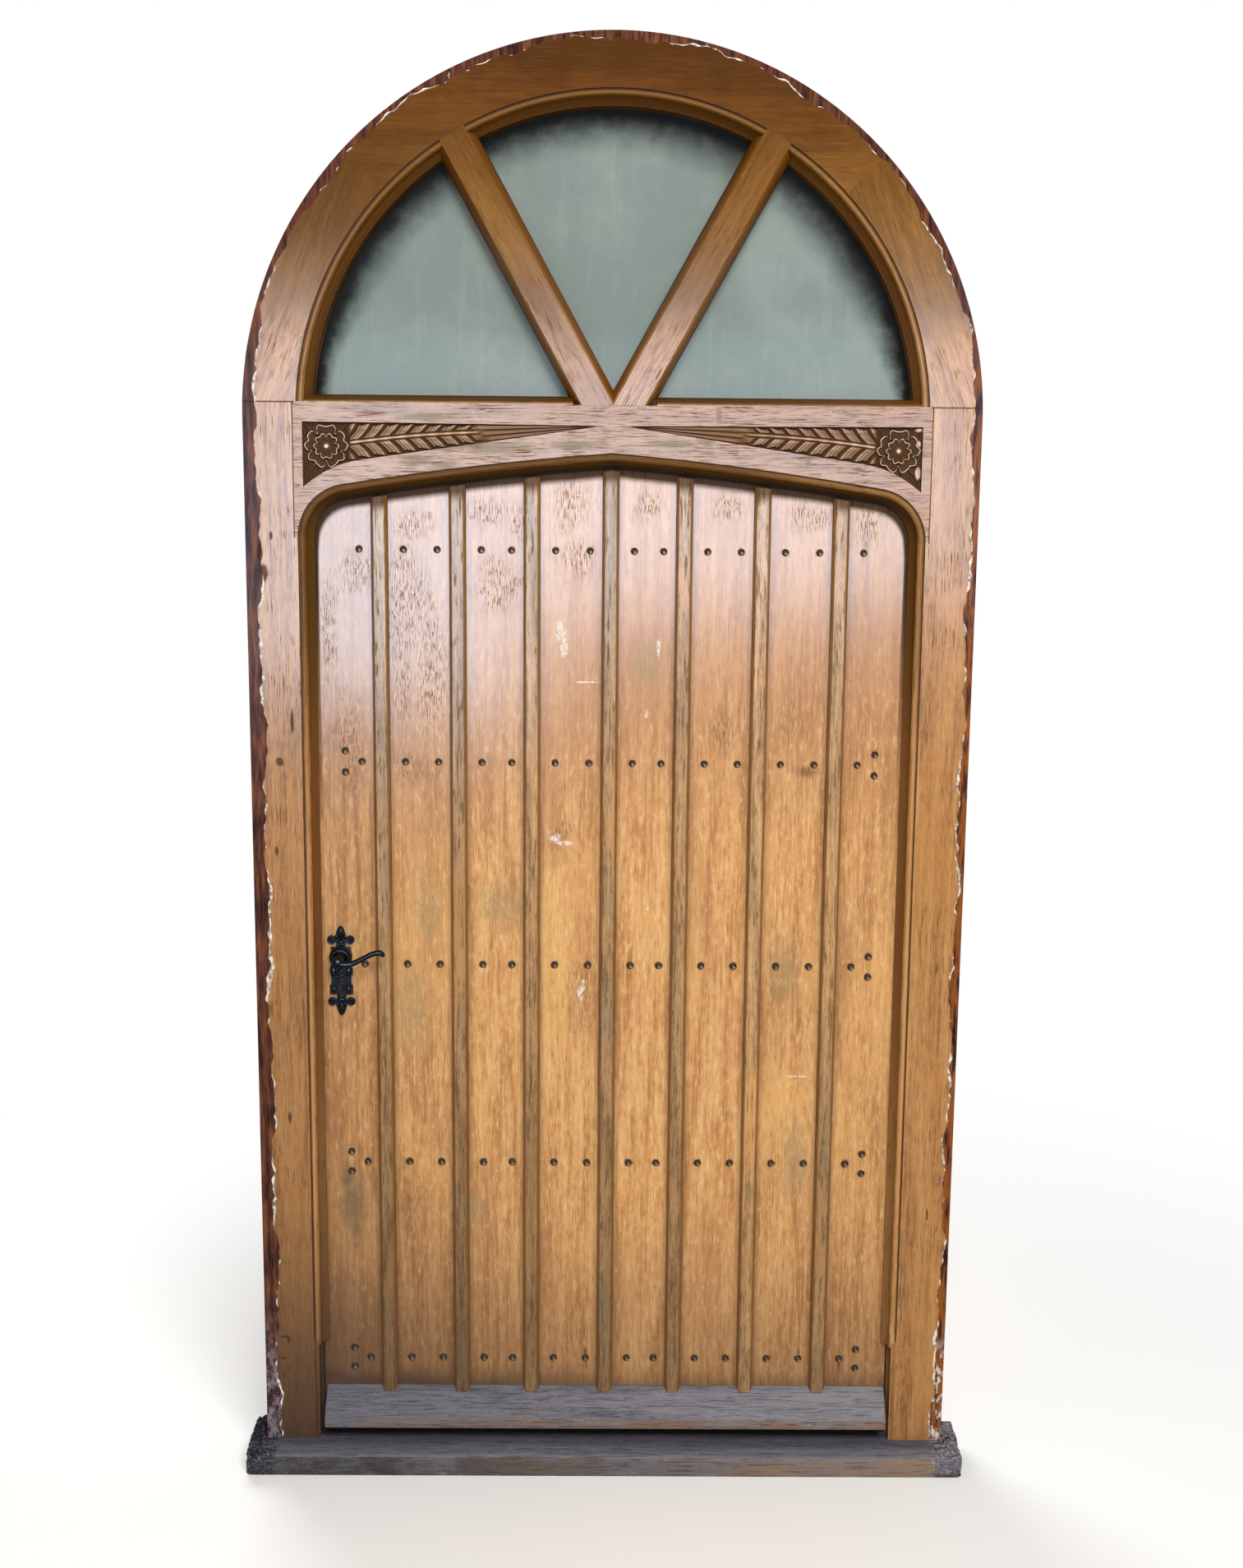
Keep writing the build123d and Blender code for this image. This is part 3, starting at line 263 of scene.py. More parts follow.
frameMarks = {
    "nick": (
        (-558, 1636, 3, 7), (-571, 1576, 6, 16), (-578, 1610, 4, 14), (-552, 1262, 6, 7), (-560, 1110, 3, 8),
        (-548, 640, 3, 10), (-566, 236, 9, 2), (-558, 230, 3, 5), (-568, 196, 6, 2), (556, 1963, 5, 3),
        (-530, 1330, 3, 18), (560, 470, 2, 12),
    ),
    "chip": ((509, 237, 6, 8), (505, 250, 3, 10), (-510, 236, 4, 6)),
    "stain": (
        (-316, 1760, 26, 9), (-276, 1752, 22, 8), (-300, 1828, 40, 7), (-190, 1780, 60, 9),
        (-270, 1782, 50, 8), (318, 1768, 6, 15), (150, 1795, 14, 10), (172, 1836, 5, 14), (100, 1789, 42, 5),
        (-60, 1786, 40, 6),
    ),
}


def frameFinish(name, turn, crown=0.0, marks=(), aged=0.0):
    f = Finish(name, frameLook)
    grain = oakGrain(f, f.here, turn)
    f.colour = f.ramp(grain["all"], (0.38, "dark"), (0.5, "body"), (0.62, "light"))
    warm = f.streaks(f.here, 0.5, 5, 3).smooth(0.46, 0.66)
    f.lay(warm * 0.4, "honey")
    f.lay(aged, "weathered")
    f.lay(grain["pores"] * 0.45, "pore")
    rise = (f.z - door["spring"]).most(0)
    away = (f.x * f.x + rise * rise) ** 0.5
    if crown:  # the head is painted darker towards the top, partly as painted shade, and painted shade darkens its left
        high = f.z + (warm - 0.5) * 0.04
        headShadeTone = f.ramp(grain["all"], (0.38, "head"), (0.62, "headLight"))
        deep = f.ramp(grain["all"], (0.38, "crown"), (0.62, "crownBody"))
        f.lay(high.smooth(1.9, 2.02), headShadeTone)
        f.lay(high.smooth(2.08, 2.34) * crown, deep)
        leftHeadShade = f.x.smooth(-0.15, -0.42) * high.smooth(2.02, 2.12) * high.smooth(2.33, 2.2) * 0.55
        f.lay(leftHeadShade.most(high.smooth(2.32, 2.38) * 0.85), "crown")
    inCove = f.y.smooth(0.0056, 0.009) * f.y.smooth(0.034, 0.026)  # painted shade in the cove, deeper towards the top and lighter low down
    cove = f.mix(f.z.smooth(0.95, 0.45), "cove", "coveLow")
    cove = f.mix(f.z.smooth(1.25, 1.66) * f.z.smooth(1.86, 1.82), cove, "coveDeep")
    f.lay(inCove * 0.92, cove)
    ticks = grain["ticks"] * f.noise(f.here, 9, 2).smooth(0.3 if marks and turn else 0.44, 0.56)
    f.lay(ticks * 0.8, "pore")
    dull = ticks
    if marks and turn:  # open grain in the transom
        ticks = f.streaks(grain["along"], 0.03, 400, 4, 0.72).smooth(0.545, 0.585)
        ticks = ticks * f.noise(f.here, 14, 3, 0.6).smooth(0.36, 0.54)
        f.lay(ticks * 0.8, "crack")
        dull = dull.most(ticks)
    if marks:
        shown = f.y.smooth(0.012, 0.008)
        stain = f.spots(frameMarks["stain"], 0.5, 0.7) * shown
        nick = f.spots(frameMarks["nick"], 0.3, 0.6) * shown
        f.lay(stain * 0.55, "green")
        f.lay(nick * 0.8, "grime")
        f.lay(f.spots(frameMarks["chip"], 0.3, 0.5) * shown * 0.7, "chip")
        dull = dull.most(stain * 0.6).most(nick)
    # darker towards the foot, most on the left, and painted shade down the left side
    leftShade = f.x.smooth(0.2, -0.5)
    foot = f.z.smooth(0.62, 0.05) * (leftShade * 0.6 + 0.1) + leftShade * f.z.smooth(1.8, 0.5) * 0.2
    f.lay(foot, "grime")
    # dirt and painted shade in the quirk, and a painted highlight on the bead beside it
    quirk = ((door["quirk"] - away) if crown else archGap(f, 0.0)) + (f.y > 0.03)
    mouldingShare = 0.6 if crown else 1
    if name.startswith("bar"):  # bars have neither
        quirk, mouldingShare = f.z + 5, 0
    moulded = f.z.smooth(0.226, 0.234)
    beadHighlight = abs(quirk - 0.006).smooth(0.004, 0.001) * moulded * (f.z.smooth(1.2, 0.8) * 0.3 + 0.4)
    f.lay(beadHighlight * (f.z.smooth(0.2, 0.6) * 0.7 + 0.3), "light")
    moulding = quirk.smooth(0.0015, 0.0035) * f.z.smooth(1.15, 1.55) * mouldingShare
    if marks and turn:  # with the rail under the panes
        moulding = moulding.most(f.z.smooth(1.8445, 1.8475) * f.y.smooth(0.004, 0.008))
    f.lay(moulding * (f.x.smooth(0.4, 0.2) * 0.35 + 0.5), "moulding")
    # painted shadow on the soffit over the leaf, strongest under the head
    soffit = f.y.smooth(0.013, 0.021) * f.y.smooth(0.034, 0.026)
    overLeaf = (f.z.smooth(1.64, 1.71) * 0.8 + 0.12) * f.z.smooth(1.82, 1.79)
    soffit = soffit * overLeaf.most(f.z.smooth(1.82, 1.86) * 0.5)
    f.lay(soffit, "soot")
    line = abs(quirk - 0.001).smooth(0.002, 0.0009) * moulded
    f.lay(line * 0.85, "grime")
    seam = abs(f.z - door["seam"]).smooth(0.0016, 0.0006) * (abs(f.x) > 0.516)
    if marks:  # and the transom's shoulders
        upright = abs(abs(f.x) - door["shoulder"]).smooth(0.0014, 0.0005) * f.z.smooth(1.63, 1.634)
        seam = seam.most(upright * (f.z < 1.852) * (f.y < 0.004))
    f.lay(seam * 0.8, "grime")
    # the outer edge, bare where the wall's render covered it
    run = f.z.least(door["spring"]) + rise.reckon("ARCTAN2", rise, abs(f.x)) * door["outer"]
    edge = door["outer"] - away
    width = f.x.smooth(0.05, -0.05) * (band["left"] - band["right"]) + band["right"]
    aloft = f.z.smooth(1.75, 2.0)
    width = width * (1 - aloft) + aloft * band["head"]
    width = width + (f.x > 0) * f.z.smooth(*band["footReach"]) * band["foot"]
    for length, tall, shift in band["waves"]:
        width = width + (run * (2 * math.pi / length) + (f.x > 0) * band["rightShift"] + shift).sine() * tall
    bare = (edge - width).smooth(0.0008, -0.0006)
    flake = f.streaks(f.here, 0.12, 120, 4, 0.6)
    varnished = f.colour
    f.colour = f.ramp(flake, (0.36, "bareDark"), (0.5, "bare"), (0.66, "bareWarm"))
    f.lay(f.x.smooth(0.3, 0.55) * flake.smooth(0.4, 0.56) * f.z.smooth(2.0, 1.7), "bareRight")
    scale = f.streaks(f.here, 0.35, 60, 4, 0.7, 0.5)
    low = f.z.smooth(0.34, 0.1) * 0.16
    f.lay((scale + low).smooth(0.66, 0.74) * 0.9, "flake")
    peel = f.streaks(f.here, 0.5, 85, 4, 0.7)
    leftFoot = (f.x < 0) * f.z.smooth(0.34, 0.1)
    f.lay(leftFoot * peel.smooth(0.56, 0.44) * 0.8, "bareCold")
    f.lay(leftFoot * peel.smooth(0.47, 0.56) * 0.75, "violet")
    f.lay((f.x > 0) * f.z.smooth(0.27, 0.14) * peel.smooth(0.52, 0.58) * 0.85, "white")
    f.colour = f.mix(bare, varnished, f.colour)
    rough = bare * 0.05 + grain["fine"] * 0.12 + dull * 0.2 + 0.36
    coat = (0.8 - dull * 0.75) * (1 - grain["pores"] * 0.4) * (1 - bare * 0.85) * f.z.smooth(2.25, 1.95)
    coat = coat * (1 - line.most(seam)) * (1 - moulding * 0.85) * (1 - aged * 0.5)
    height = grain["fine"] * 0.5 + grain["broad"] * 0.2 - grain["pores"] * 0.6 - bare * 1.5 + scale * bare * 3
    return f.shade(rough, (height, 0.3, 0.0007), coat, Coat_Roughness=0.17, Specular_IOR_Level=0.05)


# boards of the leaf
boardLook = tones(
    dark=(162, 112, 64), body=(194, 142, 88), light=(211, 162, 106), honey=(217, 166, 102), tan=(168, 118, 76),
    pore=(104, 70, 40), worn=(152, 132, 94), fibre=(98, 82, 66), scuff=(228, 218, 210), stain=(66, 48, 36),
    grime=(84, 62, 46), edgeDirt=(120, 80, 46), soot=(26, 16, 9), silver=(226, 188, 138),
)
boardLook["own"] = (-0.2, -0.1, 0.3, 0.35, 0.35, 0.3, 0.1, -0.1)  # how light each board is
boardMarks = {
    "fibre": (
        (-345, 1520, 32, 90), (-300, 1400, 26, 110), (-350, 1385, 16, 70), (-330, 1655, 38, 22),
        (-205, 1675, 34, 22), (-150, 1660, 18, 26), (-70, 1690, 26, 40), (-440, 1300, 26, 60),
        (-470, 1480, 14, 80), (330, 1670, 40, 22), (190, 1690, 26, 24), (60, 1695, 22, 26),
        (420, 1660, 26, 30), (-420, 1580, 30, 30), (-190, 1560, 40, 40), (-60, 1600, 30, 30),
        (-85, 1130, 24, 30), (336, 1247, 22, 14), (300, 1330, 20, 40), (190, 1310, 20, 30),
        (-330, 1250, 40, 20), (-440, 1240, 20, 30), (-340, 480, 20, 30), (-46, 861, 22, 60),
    ),
    "worn": (
        (-340, 835, 24, 70), (-184, 1015, 36, 36), (-444, 481, 22, 55), (-229, 467, 20, 26),
        (300, 900, 26, 50), (60, 1430, 26, 40), (330, 560, 20, 60), (-310, 1010, 22, 50),
    ),
    "scuff": (
        (-84, 1484, 9, 20), (-80, 1455, 7, 16), (-92, 1132, 9, 6), (-76, 1122, 14, 3), (-48, 858, 5, 12),
        (-43, 872, 3, 9), (79, 1455, 3, 14), (-40, 1397, 22, 1.3), (330, 712, 20, 1.0), (118, 1398, 8, 2),
        (60, 1345, 3, 6), (66, 1010, 2, 3),
    ),
    "dark": ((-444, 470, 20, 48), (-452, 520, 12, 26), (-440, 430, 10, 30), (330, 1247, 18, 8)),
}


def nailStains(f):  # rings and drips round the rows of nails
    columns = [joint - door["nailLeft"] for joint in door["joints"]]
    columns += [joint + door["nailRight"] for joint in door["joints"]]
    across = f.nearest(f.x, columns)
    up = f.nearest(f.z, door["rows"])
    edgeAcross = abs(abs(f.x) - door["edgeNail"])
    edgeUp = abs(up - door["edgeRise"])
    ring = (across * across + up * up) ** 0.5
    edgeRing = (edgeAcross * edgeAcross + edgeUp * edgeUp) ** 0.5 + (f.z > 1.45)
    wander = f.noise(f.here, 110, 3, 0.6) * 0.007
    halo = (ring.least(edgeRing) + wander).smooth(0.0118, 0.0098)
    drip = across.smooth(0.0035, 0.0015) * (up - 0.012).smooth(0.014, 0.0)
    drip = drip * f.streaks(f.here, 0.3, 60, 3).smooth(0.52, 0.6)
    return halo.most(drip * f.z.smooth(0.4, 0.2))


def piecesAcross(f, shift, apart):  # which board or strip this is, and a place in its own stretch of grain
    number = None
    for joint in door["joints"]:
        passed = f.x > joint - shift
        number = passed if number is None else number + passed
    along = f.vector(number * apart[0], 0, number * apart[1])
    return number, f.node("VectorMath", {"operation": "ADD"}, {0: f.here, 1: along})


def ownTone(f, number, shares):  # each its own tone
    count = len(shares)
    stops = [((n + 0.001) / count, (0.5 + share * 0.5,) * 3 + (1,)) for n, share in enumerate(shares)]
    return f.ramp(number / count, *stops, step=True)


def boardFinish():
    f = Finish("boardOak", boardLook)
    look = f.look
    number, place = piecesAcross(f, 0, (0.13, 0.71))
    grain = oakGrain(f, place, 0)
    f.colour = f.ramp(grain["all"], (0.4, "dark"), (0.5, "body"), (0.6, "light"))
    patch = f.streaks(place, 0.45, 6, 3, 0.55)
    glow = patch.smooth(0.44, 0.66) * f.z.smooth(1.35, 0.95) * f.z.smooth(0.2, 0.55)
    f.lay(glow * 0.6, "honey")
    tanPatch = f.noise(f.scaled(place, (1, 1, 0.3), (3, 1, 2)), 9, 4, 0.6).smooth(0.5, 0.66)
    f.lay(tanPatch * 0.42, "tan")
    f.lay(0.35, ownTone(f, number + 0.5, look["own"]), "OVERLAY")
    f.lay(f.z.smooth(1.08, 1.36) * 0.45, "tan")
    f.lay(grain["pores"] * 0.35, "pore")
    f.lay(grain["fleck"].smooth(0.55, 0.66) * (f.z.smooth(1.5, 1.25) * 0.3 + 0.08), "silver")
    f.lay(grain["fleck"].smooth(0.45, 0.34) * 0.3, "dark")
    # dirt beside the cover strips and towards the foot
    shown = f.y.smooth(0.03, 0.026)
    beside = f.nearest(f.x, door["joints"])
    f.lay(beside.smooth(0.026, 0.012) * 0.5, "edgeDirt")
    footDirt = f.z.smooth(0.5, 0.12) * 0.42 + (f.z + patch * 0.05).smooth(0.205, 0.15) * 0.35
    footDirt = footDirt + f.x.smooth(-0.3, -0.5) * 0.16 + f.x.smooth(0.1, -0.45) * f.z.smooth(0.75, 0.2) * 0.3
    f.lay(footDirt, "grime")
    # painted shadow along the edge of the opening, strongest under the head
    gap = archGap(f, door["opening"]) + (patch - 0.5) * 0.006 + (1 - shown)
    underArch = f.z.smooth(1.6, 1.7) * 0.66 + 0.34
    archShadow = (gap / underArch).smooth(0.022, 0.009) * f.z.smooth(0.1, 0.4)
    f.lay(archShadow * (f.z.smooth(1.1, 1.6) * 0.78 + 0.14), "soot")
    # worn places: raised grey fibre, bleached patches
    streak = f.streaks(place, 0.13, 460, 4, 0.74)
    fibre = f.spots(boardMarks["fibre"], 0.7, 1.1, 26) * streak.smooth(0.5, 0.57)
    stray = streak.smooth(0.63, 0.7) * f.streaks(place, 0.4, 7, 2).smooth(0.5, 0.62)
    fibre = fibre.most(stray) * shown
    worn = f.spots(boardMarks["worn"], 0.7, 0.8, 40) * streak.smooth(0.4, 0.56) * shown
    f.lay(worn * 0.8, "worn")
    f.lay(fibre * 0.66, "fibre")
    f.lay(f.spots(boardMarks["dark"], 0.8, 0.7, 40) * shown * 0.5, "stain")
    broken = f.streaks(f.here, 0.5, 210, 3, 0.7).smooth(0.42, 0.53)
    scuff = f.spots(boardMarks["scuff"], 0.4, 1.1, 70) * broken * shown
    f.lay(scuff * 0.85, "scuff")
    ring = nailStains(f) * shown * (f.z.smooth(1.4, 0.7) * 0.7 + 0.3)
    f.lay(ring * 0.66, "stain")
    rough = fibre * 0.35 + worn * 0.25 + scuff * 0.3 + grain["fine"] * 0.1 + 0.36
    coat = (1 - fibre * 0.97) * (1 - scuff) * (1 - worn * 0.5) * (1 - archShadow) * (1 - ring)
    height = grain["fine"] * 0.6 + grain["broad"] * 0.4 - grain["pores"]
    return f.shade(rough, (height, 0.3, 0.0006), coat, Coat_Roughness=0.16, Specular_IOR_Level=0.05)


# cover strips: faces bleached, chamfers still brown
stripLook = tones(
    dark=(104, 78, 50), body=(158, 120, 78), light=(186, 148, 102), bleached=(142, 124, 98), warm=(190, 138, 82),
    chamfer=(126, 82, 36), lip=(66, 44, 24), pore=(76, 60, 44), grime=(70, 54, 40), soot=(44, 30, 18),
)
stripLook["own"] = (0.0, -0.15, 0.2, 0.0, 0.1, 0.55, 0.25)  # how light each strip is


def stripFinish():
    f = Finish("stripOak", stripLook)
    look = f.look
    number, place = piecesAcross(f, 0.06, (0.17, 0.53))
    grain = oakGrain(f, place, 0, 0.035, 1.2)
    f.colour = f.ramp(grain["all"], (0.36, "dark"), (0.5, "body"), (0.64, "light"))
    patch = f.streaks(place, 0.25, 9, 3, 0.6)
    f.lay(patch.smooth(0.5, 0.64) * (0.7 - f.x.smooth(0.05, 0.3) * 0.4), "bleached")
    f.lay(patch.smooth(0.44, 0.34) * 0.6, "warm")
    streak = f.streaks(place, 0.08, 260, 4, 0.7).smooth(0.54, 0.62)
    f.lay(streak * 0.6, "pore")
    f.lay(0.6, ownTone(f, number - 0.5, look["own"]), "OVERLAY")
    f.lay(f.z.smooth(0.95, 0.12) * (f.x.smooth(0.3, -0.4) * 0.35 + 0.3), "grime")
    # painted shadow under the head
    under = (archGap(f, door["opening"]) + (patch - 0.5) * 0.02 + (f.y > 0.03)).smooth(0.036, 0.012)
    f.lay(under * f.z.smooth(1.6, 1.7) * 0.75, "soot")
    side = f.y.smooth(0.0146, 0.0165)
    f.lay(side * 0.8, "chamfer")
    f.lay(f.y.smooth(0.0195, 0.0212) * 0.85, "lip")
    rough = streak * 0.3 + patch * 0.2 + 0.34
    coat = (1 - streak * 0.9) * (1 - patch.smooth(0.5, 0.64) * 0.5) * (0.75 - under * 0.72)
    height = grain["fine"] * 0.6 + grain["broad"] * 0.4 - streak * 1.4
    return f.shade(rough, (height, 0.4, 0.0007), coat, Coat_Roughness=0.2, Specular_IOR_Level=0.05)


# framing behind the boards, and the beads
backLook = tones(
    dark=(140, 94, 52), body=(176, 126, 76), light=(198, 150, 98), pore=(90, 60, 34), dirt=(96, 68, 44),
)


def backFinish(name, turn):
    f = Finish(name, backLook)
    grain = oakGrain(f, f.here, turn)
    f.colour = f.ramp(grain["all"], (0.36, "dark"), (0.5, "body"), (0.66, "light"))
    patch = f.noise(f.here, 5, 3, 0.6).smooth(0.48, 0.66)
    f.lay(patch * 0.35, "dirt")
    f.lay(grain["pores"] * 0.5, "pore")
    rough = grain["fine"] * 0.15 + patch * 0.15 + 0.36
    height = grain["fine"] * 0.6 + grain["broad"] * 0.4 - grain["pores"]
    return f.shade(rough, (height, 0.3, 0.0006), 1 - patch * 0.5, Coat_Roughness=0.22, Specular_IOR_Level=0.05)


# sill and weatherboard, bare and grey
greyLook = tones(
    dark=(92, 91, 99), body=(112, 110, 118), light=(128, 125, 130), brown=(134, 108, 84), crack=(46, 42, 44),
    rot=(24, 20, 26), chip=(168, 162, 160), under=(58, 56, 62), front=(98, 84, 72), frontLeft=(54, 48, 42),
    frontRight=(140, 112, 88), cool=(104, 105, 116), violet=(112, 110, 124), coolDark=(74, 76, 90),
    pale=(142, 138, 142), hornPale=(172, 164, 168), edge=(122, 96, 78), hornFoot=(66, 42, 36),
)


def greyFinish(name, sill):
    f = Finish(name, greyLook)
    grain = oakGrain(f, f.here, 90, 0.06, 1.3)
    f.colour = f.ramp(grain["all"], (0.4, "dark"), (0.5, "body"), (0.6, "light"))
    patch = f.noise(f.scaled(f.here, (0.5, 1, 1)), 14, 4, 0.65)
    crack = f.noise(f.scaled(f.here, (0.05, 1, 1)), 380, 4, 0.7).smooth(0.56, 0.63)
    chip = f.noise(f.scaled(f.here, (0.25, 1, 1)), 120, 4, 0.72).smooth(0.62, 0.7)
    speck = f.noise(f.here, 260, 3, 0.7).smooth(0.6, 0.68)
    if sill:
        front = f.y.smooth(-0.043, -0.0465)
        face = f.mix(f.x.smooth(-0.05, -0.4), "front", "frontLeft")
        face = f.mix(f.x.smooth(0.0, 0.42), face, "frontRight")
        face = f.mix(patch.smooth(0.46, 0.62) * 0.5, face, "body")
        f.lay(front * 0.85, face)
        f.lay((1 - front) * patch.smooth(0.4, 0.6) * 0.6, "cool")
        f.lay(f.y.smooth(-0.034, -0.008) * 0.62, "under")
        f.lay(f.x.smooth(0.0, -0.55) * (1 - front) * 0.3, "coolDark")
        lip = (abs(f.z - 0.0355) + abs(f.y + 0.0475)).smooth(0.006, 0.001)
        f.lay(lip * chip.most(patch.smooth(0.45, 0.6)) * 0.6, "chip")
        blotch = f.noise(f.here, 34, 4, 0.62)
        horn = (abs(f.x) + (patch - 0.5) * 0.04).smooth(0.574, 0.59)
        low = f.z.smooth(0.046, 0.022) * 0.35
        f.lay(horn * (blotch + low).smooth(0.38, 0.52) * 0.85, "rot")
        f.lay(horn * (blotch - low).smooth(0.52, 0.4) * 0.6, "violet")
        peel = f.noise(f.here, 130, 4, 0.7).smooth(0.56, 0.62) * (abs(abs(f.x) - 0.592)).smooth(0.022, 0.006)
        f.lay(peel * (f.x.smooth(-0.3, 0.3) * 0.6 + 0.25), "chip")
        mould = f.noise(f.here, 210, 4, 0.75)
        f.lay(horn * (f.x < 0) * mould.smooth(0.6, 0.48) * 0.82, "rot")
        f.lay(horn * (f.x > 0) * mould.smooth(0.46, 0.58) * (0.75 - front * 0.35), "hornPale")
        f.lay(horn * (f.x < 0) * mould.smooth(0.6, 0.66) * 0.6, "chip")
        f.lay(horn * (f.z + (patch - 0.5) * 0.01).smooth(0.012, 0.004) * 0.7, "hornFoot")
    else:
        f.lay(patch.smooth(0.5, 0.66) * 0.25, "brown")
        wet = (f.z + patch * 0.02).smooth(0.15, 0.128) * f.y.smooth(0.012, 0.022) * 0.5
        f.lay(wet, "under")
        f.lay(f.x.smooth(0.2, -0.5) * 0.55, "dark")
        f.lay(f.x.smooth(-0.1, 0.5) * 0.5, "pale")
        nose = f.y.smooth(-0.012, -0.0138).most((f.z + (patch - 0.5) * 0.012).smooth(0.086, 0.079))
        f.lay(nose * (patch.smooth(0.36, 0.54) * 0.4 + f.x.smooth(-0.4, 0.2) * 0.4 + 0.1), "edge")
        f.lay(nose * chip * 0.6, "chip")
    f.lay(crack * 0.4, "crack")
    f.lay(chip * 0.25, "chip")
    f.lay(speck * 0.25, "chip")
    rough = crack * 0.2 + grain["fine"] * 0.2 + 0.5
    height = grain["fine"] * 0.7 + grain["broad"] * 0.6 - crack * 2 + chip + patch * 2
    return f.shade(rough, (height, 0.6, 0.001), Specular_IOR_Level=0.2)


# ironwork, steel and brass
metalLook = {
    "iron": {"base": tone(10, 9, 12), "worn": tone(34, 30, 32), "metal": 0.0, "rough": 0.16, "scale": 170},
    "nail": {"base": tone(66, 52, 42), "worn": tone(150, 130, 108), "metal": 0.4, "rough": 0.27, "scale": 420,
             "rubbed": (0.2, -0.9, -0.38), "rubbedTone": tone(196, 174, 146)},
    "steel": {"base": tone(120, 114, 106), "worn": tone(84, 68, 56), "metal": 1.0, "rough": 0.38, "scale": 160},
    "brass": {"base": tone(168, 138, 78), "worn": tone(104, 82, 48), "metal": 1.0, "rough": 0.34, "scale": 160},
}


def metalFinish(name, look):
    f = Finish(name, look)
    mottle = f.noise(f.here, look["scale"], 4, 0.65)
    scratch = f.streaks(f.here, 0.2, look["scale"] * 4, 3, 0.6)
    worn = mottle.smooth(0.54, 0.68) * 0.6 + scratch.smooth(0.62, 0.72) * 0.3
    f.colour = f.mix(worn, "base", "worn")
    if "rubbed" in look:  # painted highlight: a glint low on each crown
        out = f.node("TexCoord", output="Normal")
        facing = f.node("VectorMath", {"operation": "DOT_PRODUCT"}, {0: out, 1: look["rubbed"]}, output="Value")
        f.lay(facing.smooth(0.9, 0.97) * (mottle.smooth(0.34, 0.52) * 0.6 + 0.3), "rubbedTone")
    rough = mottle * 0.22 + look["rough"] - scratch * 0.06
    return f.shade(rough, (mottle + scratch * 0.4, 0.25, 0.0005), Metallic=look["metal"])


# panes: old glass under a film of dust, with dirt and web along the head
glassLook = tones(film=(120, 133, 128), dust=(158, 168, 162), dirt=(24, 20, 14))
glassLook.update({"clear": 0.8, "dirtReach": 0.074})


def glassFinish():
    f = Finish("dustyGlass", glassLook)
    look = f.look
    rise = f.z - door["spring"]
    away = door["sight"] - (f.x * f.x + rise * rise) ** 0.5
    cloud = f.noise(f.here, 6, 4, 0.6)
    speck = f.noise(f.here, 160, 3, 0.6).smooth(0.66, 0.74)
    run = f.streaks(f.here, 0.12, 60, 3, 0.6).smooth(0.52, 0.72)
    dust = cloud.smooth(0.42, 0.7) * 0.3 + run * 0.12 + f.z.smooth(1.95, 1.87) * 0.2
    web = f.noise(f.here, 30, 5, 0.7)
    reach = look["dirtReach"] * (f.x.smooth(-0.3, 0.45) * 0.25 + 0.9) * (rise.smooth(0.02, 0.26) * 0.65 + 0.35)
    dirt = ((away - web * 0.03 + 0.012) / reach).smooth(1.0, 0.05)
    fade = dirt ** 0.9
    f.colour = f.mix(dust, "film", "dust")
    f.lay(speck * 0.4, "dirt")
    f.lay(fade, "dirt")
    alpha = (dust * 0.2 + look["clear"] + fade * 0.3 + speck * 0.2).least(1)
    rough = dust * 0.3 + fade * 0.4 + 0.06
    return f.shade(rough, Alpha=alpha, Specular_IOR_Level=0.08)


# carving in the spandrels, with painted shade in the hollows and a painted highlight on top
carveLook = tones(
    top=(234, 204, 180), body=(140, 106, 78), rib=(122, 86, 54), side=(88, 62, 38), pale=(232, 206, 186),
    floor=(68, 46, 26), pore=(66, 44, 28),
)
carveLook["broken"] = ((498, 1815, 6, 3), (499, 1794, 3, 5), (498, 1746, 4, 9))


def carveFinish():
    f = Finish("carvedOak", carveLook)
    look = f.look
    grain = oakGrain(f, f.here, 90)
    deep = f.y + (grain["broad"] - 0.5) * 0.0012
    # painted highlight on the high points and painted shade in the hollows, by depth
    f.colour = f.ramp(deep / 0.0075, (0.19, "top"), (0.3, "body"), (0.48, "side"),
                      (0.78, "floor"))
    ribs = abs(f.x).smooth(0.24, 0.2) * abs(f.x).smooth(0.02, 0.09)
    f.lay(ribs * 0.65, "rib")
    f.lay(f.spots(look["broken"], 0.3, 0.6) * 0.8, "pale")
    f.lay((grain["fine"] - 0.3) * 0.35, "pore")
    f.lay(grain["pores"] * 0.3, "pore")
    rough = grain["fine"] * 0.15 + 0.36
    coat = (deep.smooth(0.0045, 0.0006) * 0.7 + 0.08) * (1 - ribs * 0.7)
    return f.shade(rough, (grain["fine"] - grain["pores"], 0.3, 0.0005), coat, Coat_Roughness=0.2,
                   Specular_IOR_Level=0.05)


masticLook = tones(pale=(226, 216, 200), grey=(168, 160, 152), dirt=(104, 84, 68))


def masticFinish():
    f = Finish("oldMastic", masticLook)
    mottle = f.noise(f.here, 90, 4, 0.65)
    f.colour = f.ramp(mottle, (0.36, "dirt"), (0.46, "grey"), (0.56, "pale"))
    return f.shade(mottle * 0.2 + 0.6, (mottle, 0.5, 0.0008), Specular_IOR_Level=0.05)


def cover(mesh, material):
    mesh.materials.clear()
    mesh.materials.append(material)


def paint(material, *names):
    for name in names:
        cover(nodes[name].data, material)


